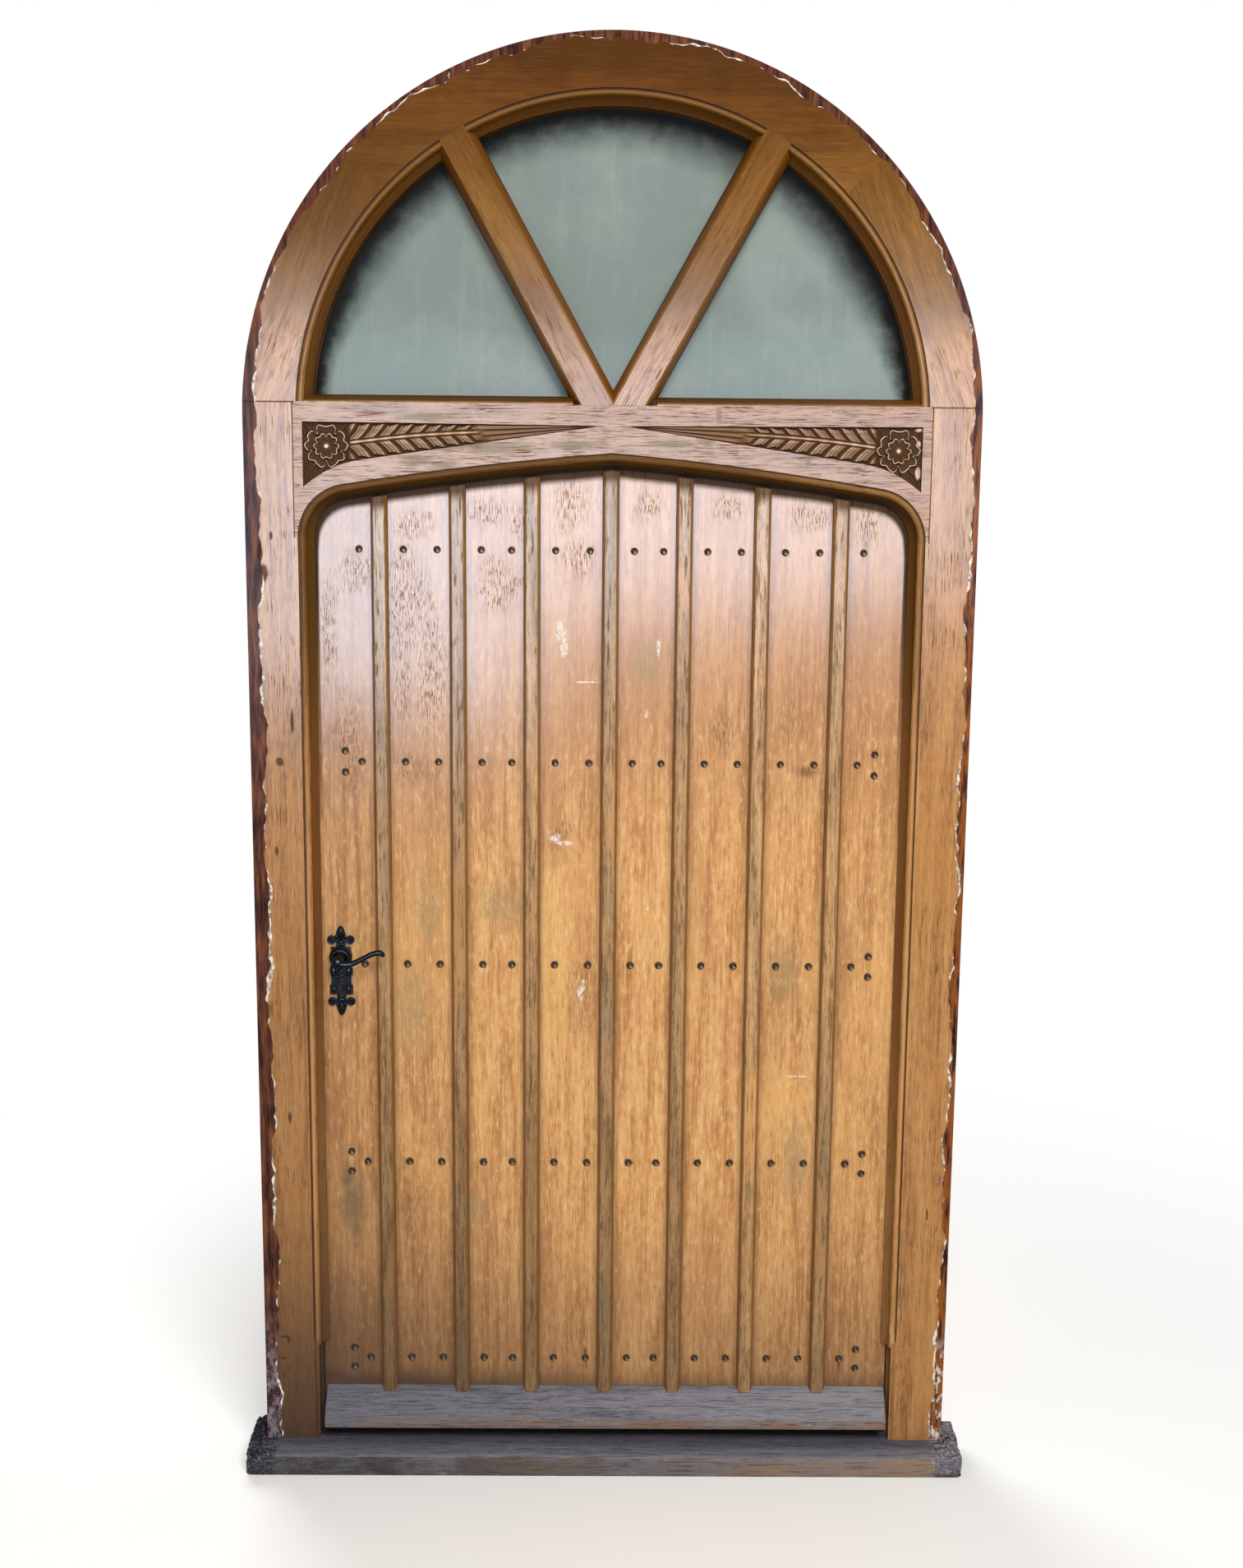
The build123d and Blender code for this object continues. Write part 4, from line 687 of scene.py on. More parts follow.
haunchGrain = 21.5  # lean of a haunch's grain, from upright
paint(frameFinish("jambOak", 0, 0.0, frameMarks), "jamb_left", "jamb_right")
paint(frameFinish("haunchLeftOak", -haunchGrain, 1.0), "arch_haunch_left")
paint(frameFinish("haunchRightOak", haunchGrain, 1.0), "arch_haunch_right")
paint(frameFinish("crownOak", 90, 1.0), "arch_crown")
transomOak = frameFinish("transomOak", 90, 0.0, frameMarks, 0.28)
paint(frameFinish("barLeftOak", door["barAngle"], 0.75, (), 0.35), "glazing_bar_left")
paint(frameFinish("barRightOak", -door["barAngle"], 0.75), "glazing_bar_right")
paint(boardFinish(), *["board_%d" % n for n in range(1, 9)])
paint(stripFinish(), *["cover_strip_%d" % n for n in range(1, 8)])
paint(backFinish("stileOak", 0), "lock_stile", "hinge_stile")
paint(backFinish("railOak", 90), "top_rail", "upper_rail", "lock_rail", "lower_rail", "bottom_rail",
      "glazing_beads_left", "glazing_beads_centre", "glazing_beads_right")
sillOak = greyFinish("sillOak", True)
paint(sillOak, "sill")
paint(greyFinish("weatherOak", False), "weatherboard")
blackIron = metalFinish("blackIron", metalLook["iron"])
paint(blackIron, "outer_backplate", "inner_backplate", "backplate_screws")
paint(metalFinish("nailIron", metalLook["nail"]), "board_nails")
paint(metalFinish("hingeSteel", metalLook["steel"]), "hinge_frame_flaps", "hinge_leaf_flaps", "hinge_pins",
      "hinge_frame_screws", "hinge_leaf_screws", "lock_case", "follower", "spindle")
paint(metalFinish("lockBrass", metalLook["brass"]), "strike_plate", "strike_screws", "lock_forend", "latch_bolt",
      "dead_bolt")
paint(glassFinish(), "glass_left", "glass_centre", "glass_right")
print("finishes set:", len(bpy.data.materials))


# edges eased by wear
softEdges = {
    0.0005: ("jamb_left", "jamb_right", "arch_crown", "arch_haunch_left", "arch_haunch_right", "glazing_bar_left",
             "glazing_bar_right", *["cover_strip_%d" % n for n in range(1, 8)]),
    0.0025: ("weatherboard",),
    0.0007: ("outer_backplate", "inner_backplate", "lock_forend", "strike_plate"),
}
joinGap = 0.00002  # points this near are one


def soften(piece, width):
    piece.modifiers.new("weld", "WELD").merge_threshold = joinGap
    bevel = piece.modifiers.new("ease", "BEVEL")
    bevel.width = width
    bevel.segments = 2
    bevel.limit_method = "ANGLE"
    bevel.angle_limit = math.radians(38)
    normal = piece.modifiers.new("normals", "WEIGHTED_NORMAL")
    normal.keep_sharp = False


for width, names in softEdges.items():
    for name in names:
        soften(nodes[name], width)
print("edges eased")


def addMesh(name, points, faces, material, smooth=True):
    mesh = bpy.data.meshes.new(name)
    mesh.from_pydata([tuple(point) for point in points], [], faces)
    mesh.materials.append(material)
    if smooth:
        mesh.polygons.foreach_set("use_smooth", [True] * len(mesh.polygons))
    mesh.update()
    piece = bpy.data.objects.new(name, mesh)
    bpy.context.scene.collection.objects.link(piece)
    return piece


def applied(piece):  # its mesh with the modifiers worked in
    bpy.context.view_layer.update()
    piece.data = bpy.data.meshes.new_from_object(piece.evaluated_get(bpy.context.evaluated_depsgraph_get()))
    piece.modifiers.clear()
    return piece.data


def ringFaces(start, count, around, flip=False, closed=False):  # quads between rings of points
    faces = []
    for i in range(count if closed else count - 1):
        here, there = start + i * around, start + (i + 1) % count * around
        for k in range(around):
            after = (k + 1) % around
            face = (here + k, here + after, there + after, there + k)
            faces.append((face[0], *face[:0:-1]) if flip else face)
    return faces


def endFaces(start, count, around):
    last = start + (count - 1) * around
    return [tuple(range(start, start + around))[::-1], tuple(range(last, last + around))]


def tidyMesh(piece, join=0.00001):
    work = bmesh.new()
    work.from_mesh(piece.data)
    bmesh.ops.remove_doubles(work, verts=work.verts, dist=join)
    bmesh.ops.dissolve_degenerate(work, edges=work.edges, dist=join)
    bmesh.ops.recalc_face_normals(work, faces=work.faces)
    work.to_mesh(piece.data)
    work.free()


# carved spandrels: a rose, a spray of gouged leaves and ribs that run out to a point
carving = {
    "end": 504.0, "tip": 17.0, "top": 1820.0, "tipTop": 1816.9, "knee": (399.3, 1761.2), "bend": (465.0, 1741.8),
    "foot": (504.0, 1715.0), "floor": 7.0, "columns": (390, 170), "split": 420.0, "rows": 150, "margin": 1.2,
    "rose": (465.5, 1781.0), "stem": ((436.0, 1785.4), (221.5, 1805.3)), "leaves": 8.6, "lean": 36.0,
    "cutter": (-3.0, 7.4), "cutterSteps": 14, "back": 1.2, "easedEdge": 0.0008, "tallest": 6.5,
    "grooves": (0.02, 0.34, 0.66, 0.98), "ribEnd": (236, 206), "sprayStart": (196, 224), "sprayEnd": (436, 424),
    "corners": (   # small leaves: start, end, half width, bow and height
        ((472, 1746), (501.5, 1718.5), 3.4, -2.5, 4.6), ((485, 1751), (503, 1722), 2.6, 2.0, 4.8),
        ((494, 1760), (503.5, 1737), 2.6, 2.5, 4.2), ((458, 1745), (482, 1735), 2.4, -1.5, 3.6),
        ((491, 1807), (502.5, 1818), 3.2, 1.0, 4.4), ((500, 1800), (503.5, 1812), 2.2, 0.5, 4.0),
        ((440, 1808), (432, 1818), 3.0, -1.0, 3.6), ((446, 1752), (428, 1756), 3.0, 1.0, 3.4),
    ),
}


def fieldLow(x):
    c = carving
    run = (x - c["tip"]) / (c["knee"][0] - c["tip"])
    straight = c["tipTop"] + (c["knee"][1] - c["tipTop"]) * run
    ax, az = c["knee"]
    bx, bz = c["bend"]
    cx, cz = c["foot"]
    curve = (az * (x - bx) * (x - cx) / ((ax - bx) * (ax - cx))
             + bz * (x - ax) * (x - cx) / ((bx - ax) * (bx - cx))
             + cz * (x - ax) * (x - bx) / ((cx - ax) * (cx - bx)))
    return np.where(x < ax, straight, curve)


def fieldHigh(x):
    c = carving
    return c["tipTop"] + (c["top"] - c["tipTop"]) * (x - c["tip"]) / (c["end"] - c["tip"])


def ease(value, low, high):
    share = np.clip((value - low) / (high - low), 0, 1)
    return share * share * (3 - 2 * share)


def ridge(x, z, start, end, half, bow=0.0):  # 1 on the line, 0 a half width away, and how far along
    dx, dz = end[0] - start[0], end[1] - start[1]
    run = math.hypot(dx, dz)
    along = ((x - start[0]) * dx + (z - start[1]) * dz) / run
    across = ((z - start[1]) * dx - (x - start[0]) * dz) / run
    share = np.clip(along / run, 0, 1)
    across = across - bow * 4 * share * (1 - share)
    past = np.maximum(np.maximum(-along, along - run), 0)
    reach = np.hypot(across, past)
    return np.clip(1 - (reach / half) ** 2, 0, 1), share


def petals(angle, first):  # place within one of five petals, -0.5 to 0.5
    turn = (np.degrees(angle) - first) / 72
    return turn - np.round(turn)


def carvedHeight(x, z):
    c = carving
    low, high = fieldLow(x), fieldHigh(x)
    rim = np.minimum(z - low, high - z)
    height = 0.35 * np.sin(x * 0.9 + np.sin(z * 0.7)) * np.sin(z * 1.1) + 0.35
    # spray of leaves
    (sx, sz), (ex, ez) = c["stem"]
    alongStem = (sx - x) / (sx - ex)
    stemLine = sz + (ez - sz) * (sx - x) / (sx - ex) + 3.0 * np.sin(np.clip(alongStem, 0, 1) * math.pi)
    inSpray = ease(x, *c["sprayStart"]) * ease(x, *c["sprayEnd"])
    phase = alongStem * c["leaves"]
    side = z - stemLine
    offset = np.abs(side) / math.tan(math.radians(c["lean"])) / (sx - ex) * c["leaves"]
    leafPhase = phase - offset * (1 - 0.012 * np.abs(side)) + 0.35
    scallop = 0.5 + 0.5 * np.cos(2 * math.pi * leafPhase)
    body = 4.6 * ease(rim, 0.6 + 2.6 * (1 - scallop), 2.6 + 3.4 * (1 - scallop))
    within = leafPhase - 0.18 - np.round(leafPhase - 0.18)
    gouge = np.clip((0.22 - np.abs(within)) / 0.22, 0, 1) ** 1.1
    gouge = gouge * ease(np.abs(side), 2.6, 5.5) * ease(rim, 1.2, 4.4)
    vein = np.exp(-((np.abs(within) - 0.36) / 0.05) ** 2) * ease(np.abs(side), 4.0, 8.0) * ease(rim, 2.0, 5.0)
    leaf = body - 4.3 * gouge - 0.8 * vein + 0.5 * scallop
    leaf = leaf - 2.4 * np.exp(-((np.abs(side) - 3.3) / 1.1) ** 2)
    stem = np.clip(1 - (side / 2.3) ** 2, 0, 1) * 5.4
    leaf = np.maximum(leaf, stem)
    height = height + inSpray * np.maximum(leaf - height, 0)
    # ribs to the tip, with narrow grooves between
    deep = np.maximum(high - low, 0.1)
    share = (z - low) / deep
    groove = np.zeros_like(x)
    for place in c["grooves"]:
        groove = np.maximum(groove, np.clip(1 - np.abs(share - place) / np.maximum(0.9 / deep, 0.07), 0, 1))
    rib = 4.3 - 3.4 * groove * np.clip(deep / 6, 0.15, 1) + 1.6 * ease(x, 70, 20)
    height = np.maximum(height, rib * ease(x - (share - 0.5) * 26, *c["ribEnd"]))
    # rose
    rx, rz = c["rose"]
    radius = np.hypot(x - rx, z - rz)
    angle = np.arctan2(z - rz, x - rx)
    place = petals(angle, 90)
    notch = np.exp(-((np.abs(place) - 0.5) / 0.055) ** 2)
    outer = 32.6 - 2.1 * np.cos(place * 4 * math.pi) - 6.5 * notch + 0.7 * np.sin(angle * 17)
    bowl = 1.5 + 0.9 * np.clip((radius - 20) / 12, 0, 1) ** 2 + 0.4 * np.cos(angle * 30)
    sepal = np.exp(-((np.abs(np.abs(place) - 0.5) * 72 - 3.2) / 1.3) ** 2)
    sepal = sepal * ease(radius, 21, 24) * ease(radius, 31, 28)
    flower = np.where(radius < outer, bowl - 1.4 * notch + 2.6 * sepal, 0)
    flower = np.maximum(flower, 6.5 * np.exp(-((radius - outer) / 1.45) ** 2))
    inner = petals(angle, 270)
    innerNotch = np.exp(-((np.abs(inner) - 0.5) / 0.06) ** 2)
    heart = 18.8 - 1.5 * np.cos(inner * 4 * math.pi) - 2.8 * innerNotch
    cup = 1.9 + 0.8 * np.cos(angle * 15) * ease(radius, 7, 10) + 0.5 * np.clip(radius / heart, 0, 1) ** 2
    flower = np.where(radius < heart, np.maximum(flower * 0, cup), flower)
    flower = np.maximum(flower, 6.5 * np.exp(-((radius - heart) / 1.35) ** 2))
    boss = np.where(radius < 6.6, 2.0 + 3.9 * np.sqrt(np.clip(1 - (radius / 5.4) ** 2, 0, 1)), 0)
    flower = np.where(radius < 6.6, boss, flower)
    inRose = ease(radius, 37.5, 35.0)
    height = np.where(inRose > 0, height * (1 - inRose) + np.maximum(flower, height * 0.4) * inRose, height)
    # small leaves in the outer corners
    for start, end, half, bow, tall in c["corners"]:
        strength, share = ridge(x, z, start, end, half, bow)
        vein = 1 - 0.55 * np.clip(1 - ((1 - strength) / 0.16), 0, 1)
        blade = strength ** 0.5 * tall * vein * (1 - 0.3 * share) * (radius > outer + 1.5)
        height = np.maximum(height, blade)
    return np.clip(height, 0, c["tallest"])


def carveField(name, side):
    c = carving
    coarse, close = c["columns"]
    columns, rows = coarse + close, c["rows"]
    xs = np.concatenate([np.linspace(c["tip"], c["split"], coarse, endpoint=False),
                         np.linspace(c["split"], c["end"], close)])
    low, high = fieldLow(xs) - c["margin"], fieldHigh(xs) + c["margin"]
    x = np.repeat(xs[:, None], rows, 1)
    z = low[:, None] + (high - low)[:, None] * np.linspace(0, 1, rows)[None, :]
    y = c["floor"] - carvedHeight(x, z)
    front = np.stack([side * x, y, z], -1).reshape(-1, 3) * mm
    behind = np.full(columns, c["floor"] + c["back"])
    edge, top = (np.stack([side * xs, behind, line], -1) * mm for line in (low, high))
    points = np.concatenate([front, edge, top])
    back, roof = columns * rows, columns * rows + columns
    faces = []
    for i in range(columns - 1):
        for j in range(rows - 1):
            a = i * rows + j
            faces.append((a, a + rows, a + rows + 1, a + 1))
        a, b = i * rows, i * rows + rows - 1
        faces.append((back + i, back + i + 1, a + rows, a))
        faces.append((b, b + rows, roof + i + 1, roof + i))
        faces.append((roof + i, roof + i + 1, back + i + 1, back + i))
    for i, turn in ((0, 1), (columns - 1, -1)):
        ring = [i * rows + j for j in range(rows)] + [roof + i, back + i]
        faces.append(tuple(ring[::turn]))
    if side < 0:
        faces = [face[::-1] for face in faces]
    piece = addMesh(name, points, faces, carvedOak)
    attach(piece, "frame")


# the transom again, with clean sunk fields for the carving
def plainTransom():
    source = nodes["transom"]
    piece = source.copy()
    piece.data = source.data.copy()
    piece.name = "transom_rail"
    bpy.context.scene.collection.objects.link(piece)
    cover(piece.data, transomOak)
    piece.modifiers.new("weld", "WELD").merge_threshold = joinGap
    cutters = []
    c = carving
    for side in (-1, 1):
        xs = np.concatenate([[c["tip"], c["knee"][0]], np.linspace(c["knee"][0], c["end"], c["cutterSteps"])[1:]])
        ring = [(x, float(fieldLow(np.array([x]))[0])) for x in xs]
        ring += [(c["end"], c["top"]), (c["tip"], c["tipTop"] + 0.4)]
        points = [Vector((side * x, y, z)) * mm for y in c["cutter"] for x, z in ring]
        count = len(ring)
        faces = [tuple(range(count)), tuple(range(2 * count - 1, count - 1, -1))]
        faces += [(i, count + i, count + (i + 1) % count, (i + 1) % count) for i in range(count)]
        cutter = addMesh("fieldCutter", points, faces, transomOak, False)
        tidyMesh(cutter)
        cut = piece.modifiers.new("field", "BOOLEAN")
        cut.object = cutter
        cut.solver = "EXACT"
        cutters.append(cutter)
    applied(piece)
    for cutter in cutters:
        bpy.data.objects.remove(cutter)
    soften(piece, c["easedEdge"])
    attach(piece, "frame")
    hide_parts("transom")


carvedOak = carveFinish()
plainTransom()
carveField("carving_right", 1)
carveField("carving_left", -1)
print("carving cut")


def clamp(value):
    return min(max(value, 0), 1)


def waved(waves, run, shift):
    return sum(tall * math.sin(run * 2 * math.pi / length + shift + own) for length, tall, own in waves)


# mastic left where the wall met the frame, in broken runs
def makeMastic():
    quarter = math.pi / 2 * door["outer"]
    points, faces = [], []
    for side in (-1, 1):
        shift = band["rightShift"] if side > 0 else 0.0
        mean = band["left"] if side < 0 else band["right"]
        strip = []
        steps = int((door["spring"] + quarter) / band["step"])
        for i in range(band["first"], steps + 1):
            run = i * band["step"]
            turn = max(run - door["spring"], 0) / door["outer"]
            rise = clamp((run - band["rise"][0]) / band["rise"][1])
            width = mean + (band["head"] - mean) * rise * rise * (3 - 2 * rise) + waved(band["waves"], run, shift)
            low = clamp((band["footReach"][0] - run) / (band["footReach"][0] - band["footReach"][1]))
            width += (side > 0) * low * low * (3 - 2 * low) * band["foot"]
            thick = band["mean"] + band["thick"] * waved(band["masticWaves"], run, 2 * shift)
            thick = min(thick * (1 - band["thin"] * rise), band["most"])
            for lumpSide, place, reach, half in band["lumps"]:
                thick += (lumpSide == side) * half * math.exp(-((run - place) / reach) ** 2)
            if thick > band["least"] and i < steps:
                out = Vector((side * math.cos(turn), 0, math.sin(turn)))
                middle = Vector((0, 0, min(run, door["spring"]))) + out * (door["outer"] - width)
                rough = noise.noise((run * 90, side * 3.0, 0.5))
                tall = band["tall"] * min(1, thick / band["full"]) * (0.8 + 0.4 * rough)
                strip.append((middle, out, thick * (1 + 0.35 * rough), tall))
                continue
            if len(strip) > 2:
                addStrip(points, faces, strip)
            strip = []
    piece = addMesh("old_mastic", points, faces, masticFinish())
    tidyMesh(piece, band["join"])
    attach(piece, "frame")


def addStrip(points, faces, strip):
    start, across = len(points), len(band["section"])
    for middle, out, half, tall in strip:
        for share, lift in band["section"]:
            points.append(middle + out * half * share + Vector((0, -tall * lift, 0)))
    faces += ringFaces(start, len(strip), across) + endFaces(start, len(strip), across)


# the sill, its ends rounded and eaten, and old bedding mortar behind its left end
sillWear = {
    "voxel": 0.0028, "start": 0.575, "end": 0.625, "bite": 0.0032, "dent": 0.0012, "round": 0.011,
    "half": 0.632, "front": -0.048, "shownTo": 0.06, "shownFrom": 0.004,
}
lump = {"middle": (-0.6125, 0.04, 0.042), "size": (0.014, 0.018, 0.015), "seed": 3.0,
        "left": -0.6315, "low": 0.03}


def wornSill():
    source = nodes["sill"]
    piece = bpy.data.objects.new("worn_sill", source.data.copy())
    bpy.context.scene.collection.objects.link(piece)
    piece.modifiers.new("weld", "WELD").merge_threshold = joinGap
    shape = piece.modifiers.new("shape", "REMESH")
    shape.mode = "VOXEL"
    shape.voxel_size = sillWear["voxel"]
    made = applied(piece)
    starts = [vertex.co.copy() for vertex in made.vertices]
    outs = [vertex.normal.copy() for vertex in made.vertices]
    ends = []
    for place, out in zip(starts, outs):
        far = clamp((abs(place.x) - sillWear["start"]) / (sillWear["end"] - sillWear["start"]))
        bite = max(noise.fractal(place * 55, 0.7, 2.0, 4) + 0.25, 0) * sillWear["bite"] * far * far
        dent = max(noise.noise(Vector((place.x * 9, place.y * 60, place.z * 60))) - 0.15, 0) * sillWear["dent"] * 2
        shown = 1.0 if place.y < sillWear["shownTo"] and place.z > sillWear["shownFrom"] else 0.0
        corner = max(abs(place.x) - (sillWear["half"] - sillWear["round"]), 0)
        front = max(sillWear["front"] + sillWear["round"] - place.y, 0)
        reach = math.hypot(corner, front)
        if corner > 0 and front > 0 and reach > sillWear["round"]:
            trim = sillWear["round"] / reach
            place.x -= math.copysign(corner * (1 - trim), place.x)
            place.y += front * (1 - trim)
        ends.extend(place - out * (bite + dent) * shown)
    made.vertices.foreach_set("co", ends)
    cover(made, sillOak)
    made.polygons.foreach_set("use_smooth", [True] * len(made.polygons))
    made.update()
    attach(piece, "frame")
    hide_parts("sill")


def makeLump(name):
    work = bmesh.new()
    bmesh.ops.create_icosphere(work, subdivisions=4, radius=1)
    for vertex in work.verts:
        swell = 1 + 0.35 * noise.fractal(vertex.co * 1.7 + Vector((lump["seed"], 0, 0)), 0.8, 2.0, 4)
        box = Vector([math.copysign(abs(part) ** 0.65, part) for part in vertex.co])
        vertex.co = Vector(lump["middle"]) + Vector([part * half * swell for part, half in zip(box, lump["size"])])
        vertex.co.x = max(vertex.co.x, lump["left"])
        vertex.co.z = max(vertex.co.z, lump["low"])
    mesh = bpy.data.meshes.new(name)
    work.to_mesh(mesh)
    work.free()
    mesh.materials.append(sillOak)
    mesh.polygons.foreach_set("use_smooth", [True] * len(mesh.polygons))
    piece = bpy.data.objects.new(name, mesh)
    bpy.context.scene.collection.objects.link(piece)
    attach(piece, "frame")


wornSill()
makeLump("bedding_lump")
print("sill worn")


# levers: a swept arm that swells at its curled end, on a turned hub
lever = {
    "spindle": (-458.5, 922.0), "midLeaf": 46.0, "flat": 0.82,
    "hub": (
        (0, -25.6), (5.5, -25.2), (8.6, -23.6), (10, -20.5), (9.6, -14.0), (9.2, -8.0), (9.2, 2.0),
        (9.8, 5.0), (9.8, 15.6), (0, 15.6),
    ),
    "arm": (
        (-458.5, -19.6, 921.0, 7.0), (-447, -19.8, 918.8, 6.0), (-434, -20.2, 920.6, 5.0),
        (-420, -20.6, 927.0, 4.6), (-407, -20.6, 934.0, 4.6), (-396, -20.4, 938.6, 4.9),
        (-388, -20.2, 939.6, 5.2), (-382.5, -20.0, 936.8, 4.4), (-380.5, -20.0, 933.0, 2.6),
    ),
    "round": 20, "steps": 6, "hubRound": 32,
}


def sweep(path, around, steps):  # rings along a smooth path whose last number is a radius
    path = [Vector(point) for point in path]
    line = []
    for i in range(len(path) - 1):
        before, here = path[max(i - 1, 0)], path[i]
        there, after = path[i + 1], path[min(i + 2, len(path) - 1)]
        for s in range(steps):
            t = s / steps
            line.append(0.5 * (2 * here + (there - before) * t + (2 * before - 5 * here + 4 * there - after) * t * t
                               + (3 * here - before - 3 * there + after) * t ** 3))
    line.append(path[-1])
    points = []
    for i, point in enumerate(line):
        ahead = (line[min(i + 1, len(line) - 1)] - line[max(i - 1, 0)]).to_3d().normalized()
        sideways = Vector((0, 1, 0))
        up = ahead.cross(sideways).normalized()
        for k in range(around):
            turn = 2 * math.pi * k / around
            flat = lever["flat"] if i else 1.0
            points.append(point.to_3d() + (sideways * math.cos(turn) * flat + up * math.sin(turn)) * point[3])
    return points, ringFaces(0, len(line), around) + endFaces(0, len(line), around)


def oval(x, y, z, wide, high, around):  # a ring of points at one depth
    turns = [2 * math.pi * k / around for k in range(around)]
    return [Vector((x + wide * math.cos(turn), y, z + high * math.sin(turn))) for turn in turns]


def lathe(profile, middle, around):
    points = []
    for radius, depth in profile:
        points += oval(middle[0], depth, middle[1], radius, radius, around)
    return points, ringFaces(0, len(profile), around, True)


def addTurned(points, faces, turned):
    start = len(points)
    points += turned[0]
    faces += [tuple(index + start for index in face) for face in turned[1]]


def ironPiece(name, points, faces, inside):  # the inside ones are mirrored in the middle of the leaf
    if inside:
        points = [Vector((p.x, 2 * lever["midLeaf"] - p.y, p.z)) for p in points]
    piece = addMesh(name, [p * mm for p in points], faces, blackIron)
    tidyMesh(piece)
    return piece


def makeLever(name, node, inside):
    points, faces = sweep(lever["arm"], lever["round"], lever["steps"])
    addTurned(points, faces, lathe(lever["hub"], lever["spindle"], lever["hubRound"]))
    piece = ironPiece(name, points, faces, inside)
    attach(piece, "lever_set")
    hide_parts(node)


makeMastic()
print("mastic laid")
makeLever("lever_outside", "outer_lever", False)
makeLever("lever_inside", "inner_lever", True)

# raised work on the backplates: scrolls, leaf ribs, the ring and the keyhole's border
plate = {
    "middle": (-458.5, 897.0), "face": 21.0, "sunk": 0.3, "scroll": (16.0, 54.5, 7.2), "roseRound": 40,
    "rose": ((19.3, 17.0), (19.0, 13.6), (17.6, 11.2), (16.2, 10.6), (15.2, 9.0), (13.6, 8.0), (11.6, 8.4),
             (10.6, 10.0), (10.6, 17.0)),
    # domes: middle x and z, half width, half height and lift; those of the crest are at both ends
    "crest": ((0, 66, 5.2, 13, 3.2), (0, 66, 1.6, 11, 4.4), (0, 51, 7.5, 3.2, 2.6), (-7, 60, 2.6, 5, 2.2),
              (7, 60, 2.6, 5, 2.2)),
    "domes": ((-13, -2, 5.0, 9.5, 3.0), (13, -2, 5.0, 9.5, 3.0), (0, 0, 7.0, 3.0, 2.4), (0, -8, 9.0, 2.4, 2.4),
              (0, -14.5, 11.0, 2.0, 2.2), (-12.5, -34, 4.0, 8.0, 2.6), (12.5, -34, 4.0, 8.0, 2.6),
              (0, 43.5, 6.0, 2.2, 2.0), (0, -44.5, 6.0, 2.2, 2.0)),
    "keyhole": (0.0, -29.0, 7.6, 2.0),
    "curl": {"shift": (0.6, 0.4), "size": (3.2, 3.2, 3.4), "inset": 1.4, "thick": 2.2, "lift": 0.8, "round": 28},
}


def addDome(points, faces, x, z, wide, high, tall, face, around=20, rings=6):
    start = len(points)
    for r in range(rings + 1):
        lift, reach = math.sin(math.pi / 2 * r / rings), math.cos(math.pi / 2 * r / rings)
        points += oval(x, face - lift * tall, z, wide * reach, high * reach, around)
    faces += ringFaces(start, rings + 1, around, True)
    faces.append(tuple(start + k for k in range(around)))


def addRing(points, faces, x, z, radius, thick, face, around=36, turns=10):
    start = len(points)
    for k in range(around):
        turn = 2 * math.pi * k / around
        for s in range(turns):
            swing = 2 * math.pi * s / turns
            reach = radius + thick / 2 * math.cos(swing)
            depth = face - thick / 2 * math.sin(swing)
            points.append(Vector((x + reach * math.cos(turn), depth, z + reach * math.sin(turn))))
    faces += ringFaces(start, around, turns, closed=True)


def makePlateWork(name, inside):
    points, faces = [], []
    px, pz = plate["middle"]
    face = plate["face"] + plate["sunk"]
    across, rise, radius = plate["scroll"]
    curl = plate["curl"]
    shiftX, shiftZ = curl["shift"]
    for up in (-1, 1):
        for side in (-1, 1):
            addDome(points, faces, px + side * (across + shiftX), pz + up * (rise + shiftZ), *curl["size"], face)
            addRing(points, faces, px + side * across, pz + up * rise, radius - curl["inset"], curl["thick"],
                    face - curl["lift"], curl["round"])
    ends = [(x, up * z, *size) for up in (1, -1) for x, z, *size in plate["crest"]]
    for x, z, wide, high, tall in (*ends, *plate["domes"]):
        addDome(points, faces, px + x, pz + z, wide, high, tall, face)
    ringX, ringZ, ringRadius, thick = plate["keyhole"]
    addRing(points, faces, px + ringX, pz + ringZ, ringRadius, thick, face)
    addTurned(points, faces, lathe(plate["rose"] + plate["rose"][:1], lever["spindle"], plate["roseRound"]))
    piece = ironPiece(name, points, faces, inside)
    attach(piece, "leaf")


makePlateWork("plate_work_outside", False)
makePlateWork("plate_work_inside", True)
print("handles made")


# camera at the photograph's place
view = {"lens": 41.51, "sensor": 36, "place": (-0.00956, -2.98648, 1.73152),
        "pitch": 0.166758, "yaw": -0.009458, "roll": 0.007698}
axes = (Matrix.Rotation(view["roll"], 3, "Z") @ Matrix.Rotation(view["yaw"], 3, "Y")
        @ Matrix.Rotation(view["pitch"], 3, "X") @ Matrix(((1, 0, 0), (0, 0, -1), (0, 1, 0))))
cameraData = bpy.data.cameras.new("camera")
cameraData.lens = view["lens"]
cameraData.sensor_width = view["sensor"]
camera = bpy.data.objects.new("camera", cameraData)
facing = Matrix((axes[0], -axes[1], -axes[2])).transposed().to_4x4()
camera.matrix_world = Matrix.Translation(view["place"]) @ facing
bpy.context.scene.collection.objects.link(camera)
bpy.context.scene.camera = camera

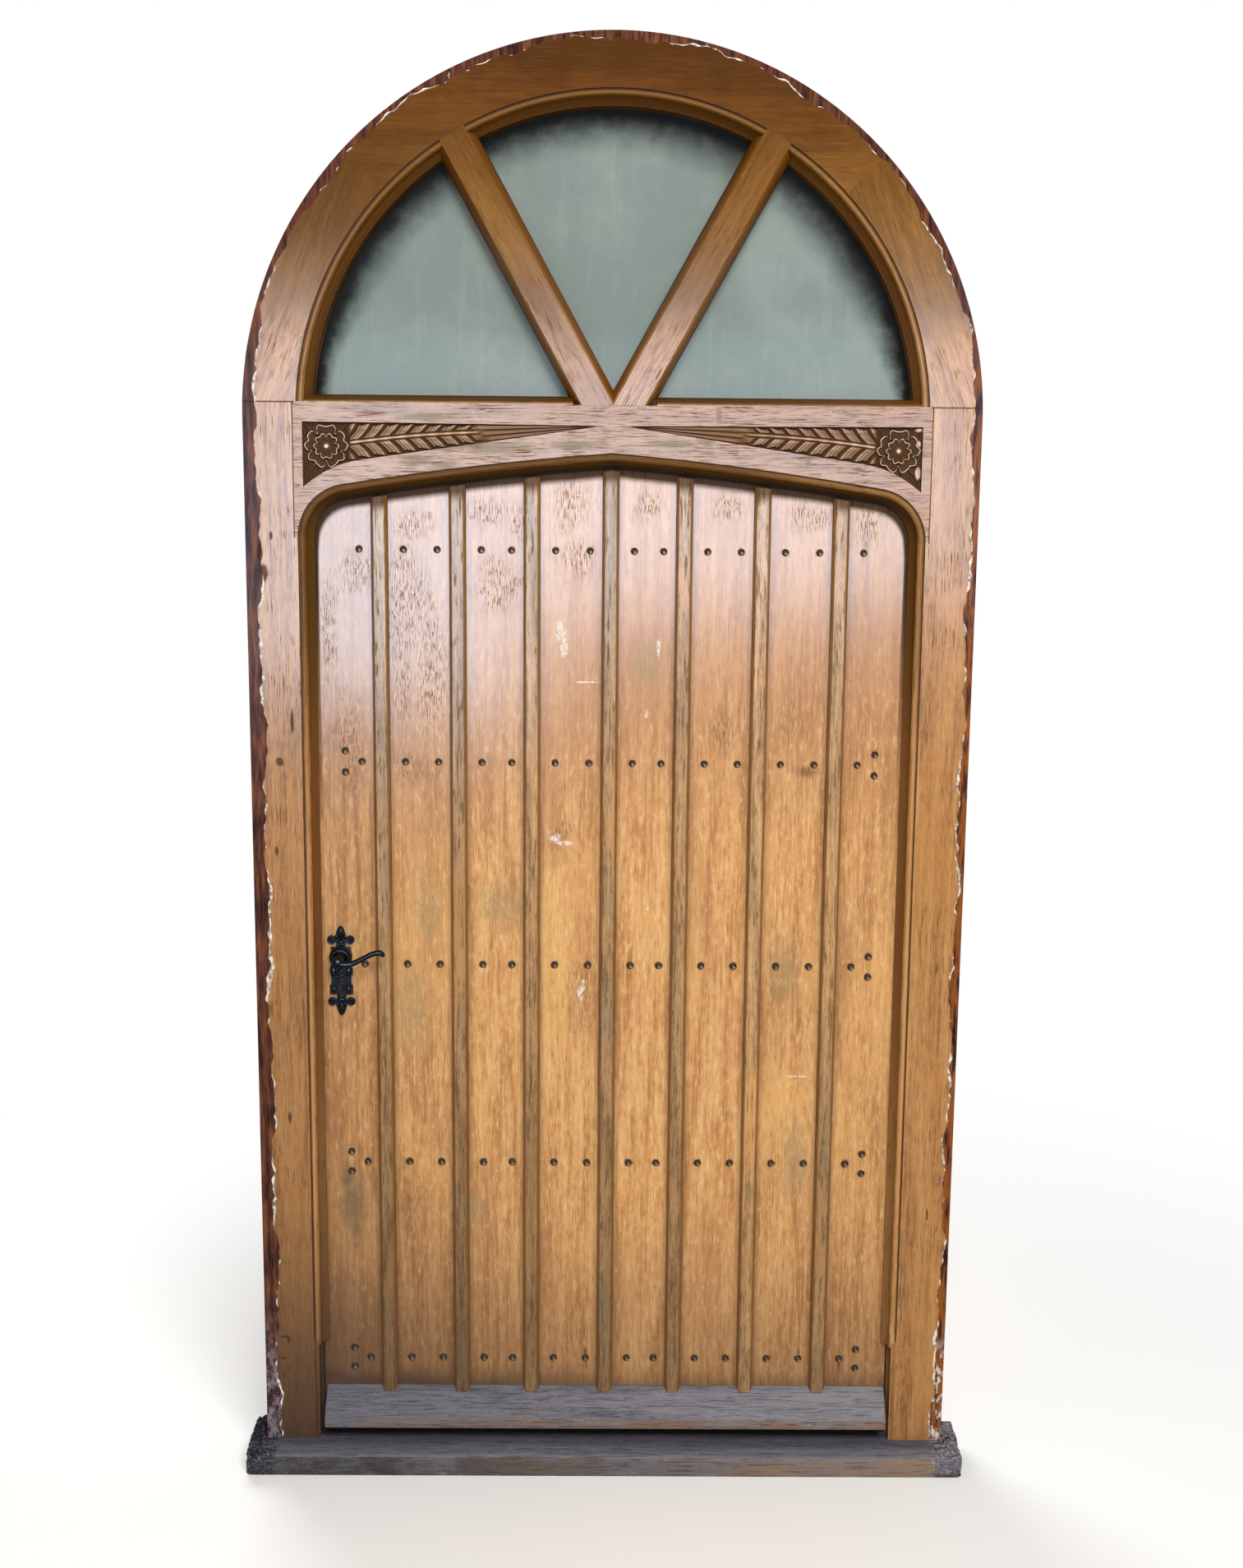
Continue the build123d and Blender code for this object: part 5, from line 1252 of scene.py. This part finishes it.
# soft studio light: a wide pale screen far in front, which the varnish mirrors, and a softbox
studio = {
    "screenLeft": {"place": (-1.55, -9.0, 1.46), "size": (2.1, 2.44), "power": 192, "roll": -5,
                   "colour": (0.7, 1.0, 1.34)},
    "screenRight": {"place": (1.065, -9.0, 1.8), "size": (3.13, 1.78), "power": 180, "roll": 4,
                    "colour": (0.7, 1.0, 1.36)},
    "softbox": {"place": (0.8, -3.6, 4.0), "size": (2.2, 1.8), "power": 215, "roll": 0,
                "colour": (1.0, 0.98, 0.95)},
    "rear": {"place": (-1.6, 3.4, 2.2), "size": (2.4, 2.0), "power": 110, "roll": 0, "colour": (1, 1, 1)},
    "world": 0.32, "worldGlossy": 0.16, "ground": tone(250, 250, 249), "floorHalf": 30,
}


def addLight(name, aim):
    spec = studio[name]
    data = bpy.data.lights.new(name, "AREA")
    data.shape = "RECTANGLE"
    data.size, data.size_y = spec["size"]
    data.energy = spec["power"]
    data.color = spec["colour"]
    light = bpy.data.objects.new(name, data)
    light.location = spec["place"]
    turn = Matrix.Rotation(math.radians(spec["roll"]), 4, "Z")
    towards = (Vector(aim) - light.location).to_track_quat("-Z", "Y").to_matrix().to_4x4()
    light.rotation_euler = (towards @ turn).to_euler()
    light.visible_camera = False
    bpy.context.scene.collection.objects.link(light)
    return light


for name in ("screenLeft", "screenRight"):
    place = studio[name]["place"]
    addLight(name, (place[0], 0, place[2])).visible_diffuse = False
addLight("softbox", (0.1, 0, 0.95)).visible_glossy = False
addLight("rear", (0, 0, 1.1)).visible_glossy = False

world = bpy.data.worlds.new("studio")
bpy.context.scene.world = world
sky = Graph(world)
ray = sky.node("LightPath", output="Is Camera Ray")
ambient = sky.node("MapRange", None, {"Value": ray.other("Is Glossy Ray"), "To Min": studio["world"],
                                      "To Max": studio["worldGlossy"]})
seen = ray.most(ray.other("Is Transmission Ray"))
lit = sky.node("MapRange", None, {"Value": seen, "To Min": ambient, "To Max": 1.0})
backdrop = sky.node("Background", None, {"Color": (1, 1, 1, 1), "Strength": lit})
sky.node("OutputWorld", None, {"Surface": backdrop})

floorFinish = Finish("paleFloor")
reach = (floorFinish.x ** 2 + floorFinish.y ** 2) ** 0.5
pale = floorFinish.node("BsdfDiffuse", sockets={"Color": studio["ground"]})
glow = floorFinish.node("Emission", sockets={"Color": (1, 1, 1, 1), "Strength": 1.0})
seenFloor = floorFinish.node("LightPath", output="Is Camera Ray")
blend = floorFinish.node("MixShader", sockets={0: reach.smooth(0.8, 2.4) * seenFloor, 1: pale, 2: glow})
floorFinish.node("OutputMaterial", sockets={"Surface": blend})
half = studio["floorHalf"]
corners = [(-half, -half, 0), (half, -half, 0), (half, half, 0), (-half, half, 0)]
floor = addMesh("floor", corners, [(0, 1, 2, 3)], floorFinish.material, False)
floor.visible_glossy = False
bpy.context.scene.view_settings.view_transform = "Standard"
print("studio lit")
